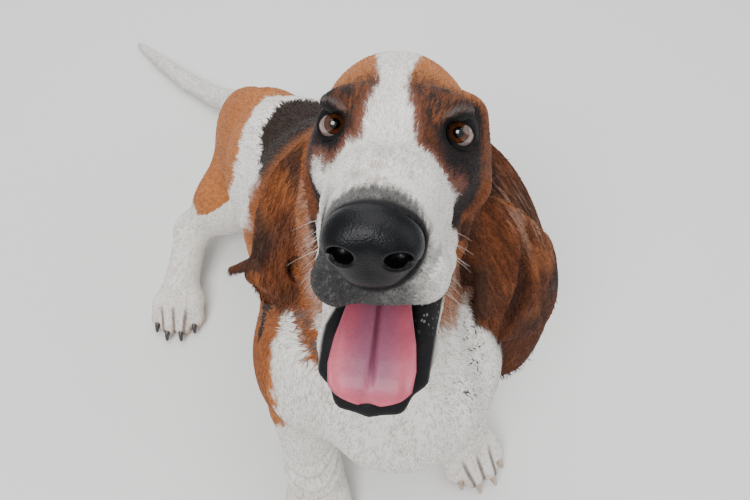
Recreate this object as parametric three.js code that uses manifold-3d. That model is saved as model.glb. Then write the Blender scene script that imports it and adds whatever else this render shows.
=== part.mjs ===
// A basset hound sitting on the floor, head raised, mouth open: a still, life-size model.
// Millimetres, +Z up. The dog faces -Y and its left side is +X.
// The body is one smooth form built from named muscles and bones, then parted by thin cuts.
import * as THREE from 'three';
import { mergeVertices } from 'three/addons/utils/BufferGeometryUtils.js';
import Module from 'manifold-3d';

const wasm = await Module();
wasm.setup();

// Driving sizes
const GAP = 0.3;                    // clear space between two nodes that meet
const FLOOR = 0;                    // the level of every flat that the dog rests on
const SETTLE_REACH = 2;             // how far a point of the surface may move to settle on its field
const FAR = 2000;                   // reach of a cutting block beyond the dog
const ORIGIN = [4, 505.75, 0];      // moved to 0,0,0 at the end: the middle of the box, at the floor

// Head pose: the point midway between the eyes, and the turn of the head about it
const HEAD_AT = [55.5, 226, 466];
const HEAD_YAW = 29.3;              // turned to the dog's right
const HEAD_PITCH = 31;              // muzzle up
const HEAD_ROLL = 1.6;              // left eye a little higher
const JAW_DROP = 33;                // how far the mouth is open

// Sizes on the head
const EYE_SPREAD = 41;              // middle of the head to the middle of an eyeball
const EYE_BACK = 9;
const EYE_LOW = -3.5;
const EYE_RADIUS = 11.5;
const LID_THICK = 2.6;
const NOSE_REACH = 130;             // eye line to the front of the nose

// Small vector helpers on [x, y, z] lists
const radians = (degrees) => degrees * Math.PI / 180;
const plus = (a, b) => [a[0] + b[0], a[1] + b[1], a[2] + b[2]];
const minus = (a, b) => [a[0] - b[0], a[1] - b[1], a[2] - b[2]];
const times = (a, s) => [a[0] * s, a[1] * s, a[2] * s];
const dot = (a, b) => a[0] * b[0] + a[1] * b[1] + a[2] * b[2];
const cross = (a, b) => [a[1] * b[2] - a[2] * b[1], a[2] * b[0] - a[0] * b[2], a[0] * b[1] - a[1] * b[0]];
const length = (a) => Math.hypot(a[0], a[1], a[2]);
const unit = (a) => times(a, 1 / length(a));
const mix = (a, b, t) => a + (b - a) * t;
const mixPoint = (a, b, t) => [mix(a[0], b[0], t), mix(a[1], b[1], t), mix(a[2], b[2], t)];
const clamp = (x, low, high) => Math.min(Math.max(x, low), high);

// Head frame: x to the dog's left, y to the back of the skull, z to the crown
function headAxes() {
  const [yaw, pitch, roll] = [HEAD_YAW, HEAD_PITCH, HEAD_ROLL].map(radians);
  const back = [Math.sin(yaw) * Math.cos(pitch), Math.cos(yaw) * Math.cos(pitch), -Math.sin(pitch)];
  const level = [Math.cos(yaw), -Math.sin(yaw), 0];
  const crown = cross(level, back);
  const left = plus(times(level, Math.cos(roll)), times(crown, Math.sin(roll)));
  const up = minus(times(crown, Math.cos(roll)), times(level, Math.sin(roll)));
  return [left, back, up];
}
const [HEAD_X, HEAD_Y, HEAD_Z] = headAxes();
const toHead = (p) => {
  const q = minus(p, HEAD_AT);
  return [dot(q, HEAD_X), dot(q, HEAD_Y), dot(q, HEAD_Z)];
};
const fromHead = (p) => plus(
  HEAD_AT, plus(plus(times(HEAD_X, p[0]), times(HEAD_Y, p[1])), times(HEAD_Z, p[2])));

// Distance fields: negative inside, in millimetres near the surface
function blend(a, b, k) {
  const h = Math.max(k - Math.abs(a - b), 0) / k;
  return Math.min(a, b) - h * h * k * 0.25;
}
const carve = (a, b, k) => -blend(-a, b, k);

function egg(centre, radii) {
  return (p) => {
    const q = minus(p, centre);
    const k0 = Math.hypot(q[0] / radii[0], q[1] / radii[1], q[2] / radii[2]);
    const k1 = Math.hypot(q[0] / radii[0] ** 2, q[1] / radii[1] ** 2, q[2] / radii[2] ** 2);
    return k1 < 1e-9 ? -Math.min(...radii) : k0 * (k0 - 1) / k1;
  };
}

// A limb runs from a to b and tapers from one radius to the other
function limb(a, b, ra, rb) {
  const ab = minus(b, a);
  const span = dot(ab, ab);
  return (p) => {
    const t = clamp(dot(minus(p, a), ab) / span, 0, 1);
    return length(minus(p, mixPoint(a, b, t))) - mix(ra, rb, t);
  };
}

// A trunk runs through stations, each a middle, a half width and a half height
function trunk(stations, k) {
  const parts = stations.slice(1).map((next, i) => {
    const [a, wa, ha] = stations[i];
    const [b, wb, hb] = next;
    const along = unit(minus(b, a));
    const side = unit(cross(along, [0, 0, 1]));
    const up = cross(side, along);
    const span = length(minus(b, a));
    return (p) => {
      const q = minus(p, a);
      const run = dot(q, along);
      const t = clamp(run / span, 0, 1);
      const w = mix(wa, wb, t);
      const h = mix(ha, hb, t);
      const over = run - t * span;
      const cap = Math.min(w, h);
      const u = dot(q, side);
      const v = dot(q, up);
      const k0 = Math.hypot(u / w, v / h, over / cap);
      const k1 = Math.hypot(u / w ** 2, v / h ** 2, over / cap ** 2);
      return k1 < 1e-9 ? -cap : k0 * (k0 - 1) / k1;
    };
  });
  return (p) => parts.reduce((d, part) => blend(d, part(p), k), 1e6);
}

const joined = (k, ...fields) => (p) => fields.reduce((d, field) => blend(d, field(p), k), 1e6);

// Trunk of the body, from the rump on the floor to the breastbone
const TRUNK = [
  [[0, 632, 51], 42, 66],
  [[2, 588, 96], 50, 70],
  [[8, 495, 158], 66, 83],
  [[20, 400, 206], 80, 98],
  [[26, 310, 234], 84, 110],
  [[31, 215, 230], 96, 106],
  [[34, 142, 212], 86, 82],
];
const trunkField = joined(40,
  trunk(TRUNK, 30),
  egg([32, 110, 204], [56, 36, 46]),      // breastbone
  egg([34, 300, 322], [38, 66, 44]),      // withers
);

const NECK = [
  [[38, 224, 290], 82, 84],
  [[54, 244, 350], 68, 77],
  [[80, 282, 402], 54, 63],
];
const neckField = joined(30,
  trunk(NECK, 30),
  limb([38, 126, 262], [44, 190, 360], 42, 34),     // loose skin of the throat
);

// Forelegs: shoulder, elbow, wrist and paw of each side
const FORELEGS = {
  right: {
    shoulder: [-52, 184, 212], elbow: [-62, 172, 146], wrist: [-76, 126, 52], paw: [-84, 96, 22], turn: -8,
  },
  left: {
    shoulder: [94, 158, 212], elbow: [100, 150, 146], wrist: [104, 112, 52], paw: [106, 84, 22], turn: 4,
  },
};
const SHOULDER = [44, 58, 76];
const FOREARM = { elbow: 37, wrist: 27 };
const WRIST_FOLD = { from: [0, -4, 6], to: [0, -10, -18], radii: [28, 30] };    // loose skin over the wrist

const forelegField = (leg) => joined(24,
  egg(leg.shoulder, SHOULDER),
  limb(leg.elbow, leg.wrist, FOREARM.elbow, FOREARM.wrist),
  limb(plus(leg.wrist, WRIST_FOLD.from), plus(leg.wrist, WRIST_FOLD.to), ...WRIST_FOLD.radii),
);

// Hind legs: hip, knee, hock and paw of each side, the left one mirrored about the rump
const RUMP_MIDDLE = 4;
const HIND_RIGHT = {
  hip: [4, 598, 88], knee: [-70, 500, 88], hock: [-134, 502, 46], paw: [-182, 408, 20], turn: -24,
};
const across = (p) => [2 * RUMP_MIDDLE - p[0], p[1], p[2]];
const HINDLEGS = {
  right: HIND_RIGHT,
  left: {
    hip: across(HIND_RIGHT.hip), knee: across(HIND_RIGHT.knee), hock: across(HIND_RIGHT.hock),
    paw: across(HIND_RIGHT.paw), turn: -HIND_RIGHT.turn,
  },
};
const THIGH = { hip: 49, knee: 46 };
const SHANK = { knee: 38, hock: 22 };
const METATARSUS = { hock: 22, paw: 24 };

const hindlegField = (leg) => joined(22,
  limb(leg.hip, leg.knee, THIGH.hip, THIGH.knee),
  limb(leg.knee, leg.hock, SHANK.knee, SHANK.hock),
  limb(leg.hock, plus(leg.paw, [leg.turn < 0 ? 10 : -10, 24, 6]), METATARSUS.hock, METATARSUS.paw),
);

// A paw: a low pad with four toes, turned about the vertical
const PAW = { half: 38, long: 32, high: 24, knuckle: 16, toe: 13.5, toeDrop: -9 };
const HIND_SCALE = 0.92;            // a hind paw against a fore one
const CLAW = { root: 9, long: 13, radius: 4.4, tip: 1.6, drop: 7 };   // root: from the middle of a toe's end
const TOES = [[-27, -16], [-10, -29], [10, -29], [27, -16]];     // across and forward of the paw's middle

const turned = (p, centre, degrees) => {
  const [c, s] = [Math.cos(radians(degrees)), Math.sin(radians(degrees))];
  const q = minus(p, centre);
  return [c * q[0] + s * q[1], -s * q[0] + c * q[1], q[2]];
};
const unturned = (q, centre, degrees) => {
  const [c, s] = [Math.cos(radians(degrees)), Math.sin(radians(degrees))];
  return plus(centre, [c * q[0] - s * q[1], s * q[0] + c * q[1], q[2]]);
};

const toeEnd = (x, y, scale) => [x * scale, y * scale - 4, PAW.toeDrop];
const pawField = (leg, scale) => {
  const pad = egg([0, 4, -2], [PAW.half * scale, PAW.long * scale, PAW.high * scale]);
  const toes = TOES.map(([x, y]) => limb(
    [x * 0.8 * scale, y * 0.2, 4], toeEnd(x, y, scale), PAW.knuckle * scale, PAW.toe * scale));
  return (p) => {
    const q = turned(p, leg.paw, leg.turn);
    const toe = toes.reduce((d, field) => blend(d, field(q), 3), 1e6);
    return blend(pad(q), toe, 8);
  };
};

// The tail lies on the floor and curves to the dog's right
const TAIL = [
  [0, 676, 62], [-10, 735, 36], [-40, 785, 16], [-76, 842, 13.5], [-106, 905, 10.5], [-138, 980, 4.5],
];
const TAIL_RADII = [28, 21, 17.5, 15.5, 12.5, 6];
const tailField = (p) => TAIL.slice(1).reduce(
  (d, next, i) => blend(d, limb(TAIL[i], next, TAIL_RADII[i], TAIL_RADII[i + 1])(p), 4), 1e6);

// Head, in its own frame, the same on both sides of the middle
const skull = joined(16,
  egg([0, 44, -12], [53, 62, 42]),
  egg([0, 88, -10], [29, 26, 28]),                  // occiput
  egg([33, 22, -28], [29, 44, 30]),                 // cheekbone
  egg([34, 34, -58], [24, 38, 38]),                 // jaw muscle
  egg([28, -1, 13], [19, 17, 12]),                  // brow
);
const muzzle = joined(12,
  trunk([[[0, 8, -14], 29, 22], [[0, -60, -17], 29, 20], [[0, -108, -19], 25, 18]], 8),
  trunk([[[0, 10, -36], 41, 28], [[0, -50, -36], 38.5, 26], [[0, -98, -35], 31, 23]], 8),
);
const flews = joined(10,
  limb([26, -96, -50], [29, -60, -62], 13, 14),
  limb([29, -60, -62], [35, -14, -66], 13, 14),
  limb([0, -106, -52], [24, -96, -51], 12, 13),
);
// The mouth is hollow between the palate and the tongue
const mouthHollow = joined(6,
  limb([0, -116, -84], [0, -30, -88], 21, 14),
  limb([15, -92, -86], [16, -34, -88], 12, 10),
  limb([0, -30, -86], [0, 6, -82], 14, 8),
);
const leftCheek = limb([47, 34, 4], [52, 16, -44], 17, 14);     // its loose skin is pushed up on this side
const JAW_HINGE = [0, 38, -46];
const JAW_LONG = 176;
const jawPoint = (x, along, lift) => {
  const a = radians(JAW_DROP);
  return [x, JAW_HINGE[1] - along * Math.cos(a) - lift * Math.sin(a),
    JAW_HINGE[2] - along * Math.sin(a) + lift * Math.cos(a)];
};
const jawField = joined(10,
  limb(jawPoint(30, 20, -24), jawPoint(25, 132, -13), 21, 13),
  limb(jawPoint(25, 132, -13), jawPoint(0, JAW_LONG - 22, -11), 13, 14),
  limb(jawPoint(0, 20, -30), jawPoint(0, 138, -20), 24, 15),
  limb(jawPoint(27, 40, -4), jawPoint(27, 134, -2), 8, 7),          // lower lip
  limb(jawPoint(27, 134, -2), jawPoint(0, JAW_LONG - 8, -2), 7, 7),
);
const eyePlace = (sign) => [EYE_SPREAD * sign, EYE_BACK, EYE_LOW];
const eyeLook = unit([0.42, -0.9, 0.05]);           // the way the left eye looks out

// Lids: an almond ring round each eye, drooping below
function lidField(q) {
  const centre = eyePlace(1);
  const d = minus(q, centre);
  const out = dot(d, eyeLook);
  const side = unit(cross([0, 0, 1], eyeLook));
  const up = cross(eyeLook, side);
  const u = dot(d, side);
  const v = dot(d, up) + 1.5;
  const ring = Math.hypot(u / 1.22, v) - 8.6;
  return Math.hypot(ring, out - 8.2) - LID_THICK;
}

function headField(p) {
  const q = toHead(p);
  const h = [Math.abs(q[0]), q[1], q[2]];
  let d = blend(skull(h), muzzle(h), 26);
  d = blend(blend(d, flews(h), 12), leftCheek(q), 14);
  const socket = egg(plus(eyePlace(1), times(eyeLook, 9)), [13, 13, 10]);
  d = carve(d, socket(h), 8);
  d = blend(d, lidField(h), 4);
  d = blend(d, jawField(h), 10);
  return carve(d, mouthHollow(h), 5);
}

// The whole body
function bodyField(p) {
  let d = blend(trunkField(p), neckField(p), 40);
  for (const side of ['right', 'left']) {
    d = blend(d, forelegField(FORELEGS[side])(p), 30);
    d = blend(d, hindlegField(HINDLEGS[side])(p), 30);
    d = blend(d, pawField(FORELEGS[side], 1)(p), 12);
    d = blend(d, pawField(HINDLEGS[side], HIND_SCALE)(p), 12);
  }
  d = blend(d, tailField(p), 16);
  return blend(d, headField(p), 26);
}

// Grid lines: one size all the way, or a list of [up to, size]
function steps(low, high, size) {
  const spans = Array.isArray(size) ? size : [[high, size]];
  const lines = [low];
  for (const [end, step] of spans) {
    const from = lines[lines.length - 1];
    const count = Math.ceil((end - from) / step);
    for (let i = 1; i <= count; i++) lines.push(from + (end - from) * i / count);
  }
  return lines;
}

// A cell's corners, its edges along x, y and z, and its faces as rings of corners
const CORNERS = [0, 1, 2, 3, 4, 5, 6, 7].map((n) => [n & 1, (n >> 1) & 1, (n >> 2) & 1]);
const EDGES = [
  [0, 1], [2, 3], [4, 5], [6, 7], [0, 2], [1, 3], [4, 6], [5, 7], [0, 4], [1, 5], [2, 6], [3, 7],
];
const FACES = [[0, 1, 3, 2], [4, 5, 7, 6], [0, 1, 5, 4], [2, 3, 7, 6], [0, 2, 6, 4], [1, 3, 7, 5]];
const edgeOf = (a, b) => EDGES.findIndex(([p, q]) => (p === a && q === b) || (p === b && q === a));

// The crossed edges of a cell, grouped into the sheets of surface that pass through it
function sheetsOf(signs) {
  const group = EDGES.map((_, n) => n);
  const top = (n) => (group[n] === n ? n : top(group[n]));
  const crossed = EDGES.map(([a, b]) => signs[a] !== signs[b]);
  for (const ring of FACES) {
    const edges = ring.map((corner, n) => edgeOf(corner, ring[(n + 1) % 4]));
    const cut = edges.filter((e) => crossed[e]);
    if (cut.length === 2) group[top(cut[0])] = top(cut[1]);
    if (cut.length === 4) ring.forEach((corner, n) => {
      if (signs[corner]) group[top(edges[n])] = top(edges[(n + 3) % 4]);
    });
  }
  const sheets = new Map();
  EDGES.forEach((_, e) => {
    if (crossed[e]) sheets.set(top(e), [...(sheets.get(top(e)) || []), e]);
  });
  return [...sheets.values()];
}

// Closed surface of a field inside a box, one vertex a cell, pulled onto the surface
function surface(field, low, high, size, place = (p) => p) {
  const lines = [0, 1, 2].map((k) => steps(low[k], high[k], Array.isArray(size) ? size[k] : size));
  const [nx, ny, nz] = lines.map((line) => line.length);
  const at = (i, j, k) => (k * ny + j) * nx + i;
  const point = (i, j, k) => place([lines[0][i], lines[1][j], lines[2][k]]);
  const values = new Float64Array(nx * ny * nz);
  for (let k = 0; k < nz; k++) for (let j = 0; j < ny; j++) for (let i = 0; i < nx; i++) {
    const edge = i === 0 || j === 0 || k === 0 || i === nx - 1 || j === ny - 1 || k === nz - 1;
    const value = field(point(i, j, k));
    values[at(i, j, k)] = edge ? Math.max(value, 0.5) : value;
  }
  const inside = (i, j, k) => values[at(i, j, k)] < 0;
  const owner = new Map();          // a cell's crossed edge to the vertex that stands for its sheet
  const vertices = [];
  for (let k = 0; k < nz - 1; k++) for (let j = 0; j < ny - 1; j++) for (let i = 0; i < nx - 1; i++) {
    const signs = CORNERS.map(([a, b, c]) => inside(i + a, j + b, k + c));
    if (signs.every((s) => s === signs[0])) continue;
    for (const sheetEdges of sheetsOf(signs)) {
      let sum = [0, 0, 0];
      for (const e of sheetEdges) {
        const [ca, cb] = EDGES[e].map((n) => CORNERS[n]);
        const va = values[at(i + ca[0], j + ca[1], k + ca[2])];
        const vb = values[at(i + cb[0], j + cb[1], k + cb[2])];
        const pa = point(i + ca[0], j + ca[1], k + ca[2]);
        const pb = point(i + cb[0], j + cb[1], k + cb[2]);
        sum = plus(sum, mixPoint(pa, pb, va / (va - vb)));
        owner.set(at(i, j, k) * 12 + e, vertices.length);
      }
      vertices.push(times(sum, 1 / sheetEdges.length));
    }
  }
  const faces = [];
  for (let k = 0; k < nz - 1; k++) for (let j = 0; j < ny - 1; j++) for (let i = 0; i < nx - 1; i++) {
    for (const axis of [0, 1, 2]) {
      const step = [0, 0, 0];
      step[axis] = 1;
      const here = inside(i, j, k);
      const [one, two] = [0, 1, 2].filter((n) => n !== axis);
      if (here === inside(i + step[0], j + step[1], k + step[2])) continue;
      const ring = [[1, 1], [0, 1], [0, 0], [1, 0]].map(([a, b]) => {
        const cell = [i, j, k];
        cell[one] -= a;
        cell[two] -= b;
        return owner.get(at(...cell) * 12 + axis * 4 + a + 2 * b);
      });
      if ((axis === 1) === here) ring.reverse();
      faces.push([ring[0], ring[1], ring[2]], [ring[0], ring[2], ring[3]]);
    }
  }
  return { vertices: vertices.map((p) => settle(field, p, SETTLE_REACH)), faces };
}

function slopeOf(field, p) {
  const h = 0.5;
  const value = field(p);
  return [0, 1, 2].map((k) => {
    const q = [...p];
    q[k] += h;
    return (field(q) - value) / h;
  });
}

// One short step along the slope of the field brings a point onto its surface
function settle(field, p, reach) {
  const slope = slopeOf(field, p);
  const steep = dot(slope, slope);
  if (steep < 0.01) return p;
  const step = times(slope, -field(p) / steep);
  return length(step) > reach ? plus(p, times(step, reach / length(step))) : plus(p, step);
}

const SHORT_FIRST = 1e-6;           // where two edges cost the same, the shorter closes first

// Fewer faces where the surface is nearly flat: short edges close up while the planes that
// met at them stay within the tolerance of the point that replaces them
function thinned({ vertices, faces }, tolerance) {
  const points = vertices.map((p) => [...p]);
  let live = faces.map((f) => [...f]);
  const planeOf = (f) => {
    const n = cross(minus(points[f[1]], points[f[0]]), minus(points[f[2]], points[f[0]]));
    const size = length(n);
    return size < 1e-9 ? null : [...times(n, 1 / size), -dot(n, points[f[0]]) / size];
  };
  const quadrics = points.map(() => new Float64Array(10));
  for (const f of live) {
    const plane = planeOf(f);
    if (!plane) continue;
    for (const v of f) for (let a = 0, n = 0; a < 4; a++) for (let b = a; b < 4; b++, n++) {
      quadrics[v][n] += plane[a] * plane[b];
    }
  }
  const errorAt = (q, r, [x, y, z]) => {
    const s = (n) => q[n] + r[n];
    return s(0) * x * x + s(4) * y * y + s(7) * z * z + s(9)
      + 2 * (s(1) * x * y + s(2) * x * z + s(3) * x + s(5) * y * z + s(6) * y + s(8) * z);
  };
  for (let pass = 0; pass < 40; pass++) {
    const around = points.map(() => []);
    live.forEach((f, n) => f.forEach((v) => around[v].push(n)));
    const options = [];
    for (const f of live) for (let n = 0; n < 3; n++) {
      const [a, b] = [f[n], f[(n + 1) % 3]];
      if (a > b) continue;
      const spots = [points[a], points[b], mixPoint(points[a], points[b], 0.5)];
      const costs = spots.map((spot) => errorAt(quadrics[a], quadrics[b], spot));
      const best = costs.indexOf(Math.min(...costs));
      if (costs[best] >= tolerance * tolerance) continue;
      const edge = length(minus(points[a], points[b]));
      options.push([costs[best] + edge * SHORT_FIRST, a, b, spots[best]]);
    }
    options.sort((x, y) => x[0] - y[0]);
    const locked = new Set();
    const gone = new Set();
    for (const [, a, b, spot] of options) {
      if (locked.has(a) || locked.has(b)) continue;
      const ring = (v) => new Set(around[v].flatMap((n) => live[n]).filter((u) => u !== v));
      const [ra, rb] = [ring(a), ring(b)];
      const shared = [...ra].filter((v) => rb.has(v));
      if (shared.length !== 2 || [...ra, ...rb].some((v) => locked.has(v))) continue;
      const keepFaces = [...around[a], ...around[b]].filter(
        (n) => !(live[n].includes(a) && live[n].includes(b)));
      const turnsOver = keepFaces.some((n) => {
        const before = planeOf(live[n]);
        const corners = live[n].map((v) => (v === a || v === b ? spot : points[v]));
        const after = cross(minus(corners[1], corners[0]), minus(corners[2], corners[0]));
        const size = length(after);
        const longest = Math.max(...corners.map((c, k) => length(minus(c, corners[(k + 1) % 3]))));
        return !before || size < 0.12 * longest * longest || dot(before, after) < 0.5 * size;
      });
      if (turnsOver) continue;
      for (const v of [...ra, ...rb, a, b]) locked.add(v);
      points[a] = spot;
      quadrics[a] = quadrics[a].map((value, n) => value + quadrics[b][n]);
      for (const n of around[b]) {
        if (live[n].includes(a)) gone.add(n);
        else live[n] = live[n].map((v) => (v === b ? a : v));
      }
    }
    if (gone.size === 0) break;
    live = live.filter((_, n) => !gone.has(n));
  }
  const used = [...new Set(live.flat())];
  const place = new Map(used.map((v, n) => [v, n]));
  return { vertices: used.map((v) => points[v]), faces: live.map((f) => f.map((v) => place.get(v))) };
}

// The same surface moved out along the slope of its field
function swollen(mesh, field, by) {
  return { ...mesh, vertices: mesh.vertices.map((p) => plus(p, times(unit(slopeOf(field, p)), by))) };
}

// Solids for cutting and joining
function solidFromFaces({ vertices, faces }) {
  return new wasm.Manifold(new wasm.Mesh({
    numProp: 3,
    vertProperties: new Float32Array(vertices.flat()),
    triVerts: new Uint32Array(faces.flat()),
  }));
}

function solidFromGeometry(geometry) {
  const bare = geometry.clone();
  bare.deleteAttribute('normal');
  bare.deleteAttribute('uv');
  const merged = mergeVertices(bare, 1e-4);
  return new wasm.Manifold(new wasm.Mesh({
    numProp: 3,
    vertProperties: Float32Array.from(merged.attributes.position.array),
    triVerts: Uint32Array.from(merged.index.array),
  }));
}

function largest(solid) {
  const pieces = solid.decompose();
  return pieces.reduce((best, piece) => (piece.volume() > best.volume() ? piece : best), pieces[0]);
}

function geometryFrom(solid) {
  const mesh = solid.getMesh();
  const geometry = new THREE.BufferGeometry();
  geometry.setAttribute('position', new THREE.BufferAttribute(Float32Array.from(mesh.vertProperties), 3));
  geometry.setIndex(new THREE.BufferAttribute(Uint32Array.from(mesh.triVerts), 1));
  geometry.computeVertexNormals();
  return geometry;
}

// A block between two opposite corners
function region(low, high) {
  const size = minus(high, low);
  const box = new THREE.BoxGeometry(...size);
  box.translate(...mixPoint(low, high, 0.5));
  return solidFromGeometry(box);
}

// Keep what lies on the side of a plane that its normal points to
function keep(solid, through, normal, gap = GAP / 2) {
  const n = unit(normal);
  return solid.trimByPlane(n, dot(n, through) + gap);
}

// Cuts between the parts: a point on each and the way it faces
const CUTS = {
  neckTrunk: { at: [30, 214, 312], normal: [0.14, -0.16, 1] },
  trunkRump: { at: [8, 505, 150], normal: [0, 0.9, -0.42] },
  rumpTail: { at: [-4, 712, 50], normal: [-0.1, 1, -0.3] },
};
// Blocks that part each leg from the body; a hind leg also reaches forward to its paw
const legBlock = {
  foreRight: [[[-FAR, -FAR, -FAR], [-38, 262, 152]]],
  foreLeft: [[[66, -FAR, -FAR], [FAR, 250, 152]]],
  hindRight: [[[-FAR, 440, -FAR], [-42, FAR, 168]], [[-FAR, 330, -FAR], [-102, FAR, 100]]],
  hindLeft: [[[50, 440, -FAR], [FAR, FAR, 168]], [[110, 330, -FAR], [FAR, FAR, 100]]],
};
const grown = (boxes, by) => boxes
  .map(([low, high]) => region(low.map((v) => v - by), high.map((v) => v + by)))
  .reduce((all, box) => all.add(box));
const flatBottom = (solid) => solid.trimByPlane([0, 0, 1], FLOOR);

function fleshNode(low, high, size, tolerance, cutters, place) {
  let solid = solidFromFaces(thinned(surface(bodyField, low, high, size, place), tolerance));
  for (const cut of cutters) solid = cut(solid);
  return largest(flatBottom(solid));
}

const behindHead = (solid) => solid.subtract(headBlock(GAP));
const beforeNeck = (solid) => solid.intersect(headBlock(0));
const aboveTrunk = (solid) => keep(solid, CUTS.neckTrunk.at, CUTS.neckTrunk.normal);
const belowNeck = (solid) => keep(solid, CUTS.neckTrunk.at, times(CUTS.neckTrunk.normal, -1));
const beforeRump = (solid) => keep(solid, CUTS.trunkRump.at, times(CUTS.trunkRump.normal, -1));
const behindTrunk = (solid) => keep(solid, CUTS.trunkRump.at, CUTS.trunkRump.normal);
const beforeTail = (solid) => keep(solid, CUTS.rumpTail.at, times(CUTS.rumpTail.normal, -1));
const afterRump = (solid) => keep(solid, CUTS.rumpTail.at, CUTS.rumpTail.normal);
const WRIST_CUT = 44;
const abovePaw = (solid) => solid.trimByPlane([0, 0, 1], WRIST_CUT + GAP);
const belowLeg = (solid) => solid.trimByPlane([0, 0, -1], -WRIST_CUT);
const toesWay = (leg) => [Math.sin(radians(leg.turn)), -Math.cos(radians(leg.turn)), 0];
const ankleOf = (leg) => minus(leg.paw, times(toesWay(leg), 26));
const behindPaw = (leg) => (solid) => keep(solid, ankleOf(leg), times(toesWay(leg), -1));
const beforeLeg = (leg) => (solid) => keep(solid, ankleOf(leg), toesWay(leg));
const within = (name) => (solid) => solid.intersect(grown(legBlock[name], 0));
const without = (name) => (solid) => solid.subtract(grown(legBlock[name], GAP));

// A prism across the head, its outline given by y and z in the head's frame
function headPrism(outline, half = FAR) {
  const shape = new THREE.Shape(outline.map(([y, z]) => new THREE.Vector2(y, z)));
  const geometry = new THREE.ExtrudeGeometry(shape, { depth: 2 * half, bevelEnabled: false });
  const place = new THREE.Matrix4().makeBasis(
    new THREE.Vector3(...HEAD_Y), new THREE.Vector3(...HEAD_Z), new THREE.Vector3(...HEAD_X));
  geometry.translate(0, 0, -half);
  geometry.applyMatrix4(place);
  geometry.translate(...HEAD_AT);
  return solidFromGeometry(geometry);
}

// The head ends at a cut behind the skull and one under the jaw
const NAPE = [118, 80];
const THROAT = [47, -112];
const JAW_UNDER = [Math.cos(radians(JAW_DROP)), Math.sin(radians(JAW_DROP))];
const headBlock = (by) => headPrism([
  [NAPE[0] + by, NAPE[1] + by], [-300, NAPE[1] + by],
  [-300, THROAT[1] - (300 + THROAT[0]) * JAW_UNDER[1] / JAW_UNDER[0] - by * 1.3],
  [THROAT[0] + by, THROAT[1] - by * 1.3]]);

// The jaw is parted from the head by a wedge that opens forward from the corner of the mouth
const MOUTH_CORNER = [2, -84];
const JAW_HALF = 52;
const jawWedge = (by) => headPrism([
  [MOUTH_CORNER[0] + by, MOUTH_CORNER[1] + by],
  [MOUTH_CORNER[0] - 300, MOUTH_CORNER[1] - 96 + by * 1.3],
  [MOUTH_CORNER[0] - 300, MOUTH_CORNER[1] - 400],
  [MOUTH_CORNER[0] + 60 + by, MOUTH_CORNER[1] - 200],
  [MOUTH_CORNER[0] + 22 + by, MOUTH_CORNER[1] - 40]], JAW_HALF + by);

// Eyes, tongue, nose, ears
function ballSolid(centre, radius, around = 12, rings = 8) {
  const geometry = new THREE.SphereGeometry(radius, around, rings);
  geometry.translate(...centre);
  return solidFromGeometry(geometry);
}
const eyeCentre = (sign) => fromHead(eyePlace(sign));

const noseField = (q) => {
  const h = [Math.abs(q[0]), q[1], q[2]];
  let d = joined(8,
    egg([0, -NOSE_REACH + 15, -14], [21, 15, 15]),
    egg([13, -NOSE_REACH + 13, -19], [11, 12, 12]),
    limb([0, -NOSE_REACH + 11, -26], [0, -NOSE_REACH + 14, -38], 10, 7))(h);
  d = carve(d, egg([12, -NOSE_REACH + 1, -19], [5, 6, 4.2])(h), 3);
  d = carve(d, limb([14, -NOSE_REACH, -20], [22, -NOSE_REACH + 12, -24], 2.6, 1.6)(h), 2);
  return carve(d, limb([0, -NOSE_REACH - 3, -22], [0, -NOSE_REACH - 3, -46], 3, 3)(h), 3);
};

// The tongue lies along the jaw, out to the lower lip
const TONGUE = [jawPoint(0, 44, 0), jawPoint(0, 80, 5), jawPoint(0, 112, 9), jawPoint(0, 136, 11),
  jawPoint(0, 152, 11), jawPoint(0, 162, 9), jawPoint(0, 169, 4)];
const TONGUE_HALF = [19, 22, 25, 28, 28, 24, 12];
const TONGUE_THICK = [9, 9, 9, 9, 9, 8, 6];

// A round form along a smooth line, closed at both ends
function tube(middle, radii, rings, sides) {
  const line = new THREE.CatmullRomCurve3(middle.map((p) => new THREE.Vector3(...p)));
  const vertices = [];
  const faces = [];
  for (let i = 0; i <= rings; i++) {
    const t = i / rings;
    const along = unit(line.getTangent(t).toArray());
    const side = unit(cross(along, [0, 0, 1]));
    const up = cross(side, along);
    const x = t * (radii.length - 1);
    const n = Math.min(Math.floor(x), radii.length - 2);
    const r = mix(radii[n], radii[n + 1], x - n);
    for (let j = 0; j < sides; j++) {
      const a = j / sides * 2 * Math.PI;
      const offset = plus(times(side, r * Math.cos(a)), times(up, r * Math.sin(a)));
      vertices.push(plus(line.getPoint(t).toArray(), offset));
    }
  }
  const start = vertices.push(minus(middle[0], times(line.getTangent(0).toArray(), 2))) - 1;
  const end = vertices.push(plus(middle[middle.length - 1],
    times(line.getTangent(1).toArray(), radii[radii.length - 1] * 0.7))) - 1;
  for (let j = 0; j < sides; j++) {
    const next = (j + 1) % sides;
    faces.push([start, j, next], [end, rings * sides + next, rings * sides + j]);
    for (let i = 0; i < rings; i++) {
      const [a, b] = [i * sides + j, i * sides + next];
      faces.push([a, b + sides, b], [a, a + sides, b + sides]);
    }
  }
  return solidFromFaces({ vertices, faces });
}

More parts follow.
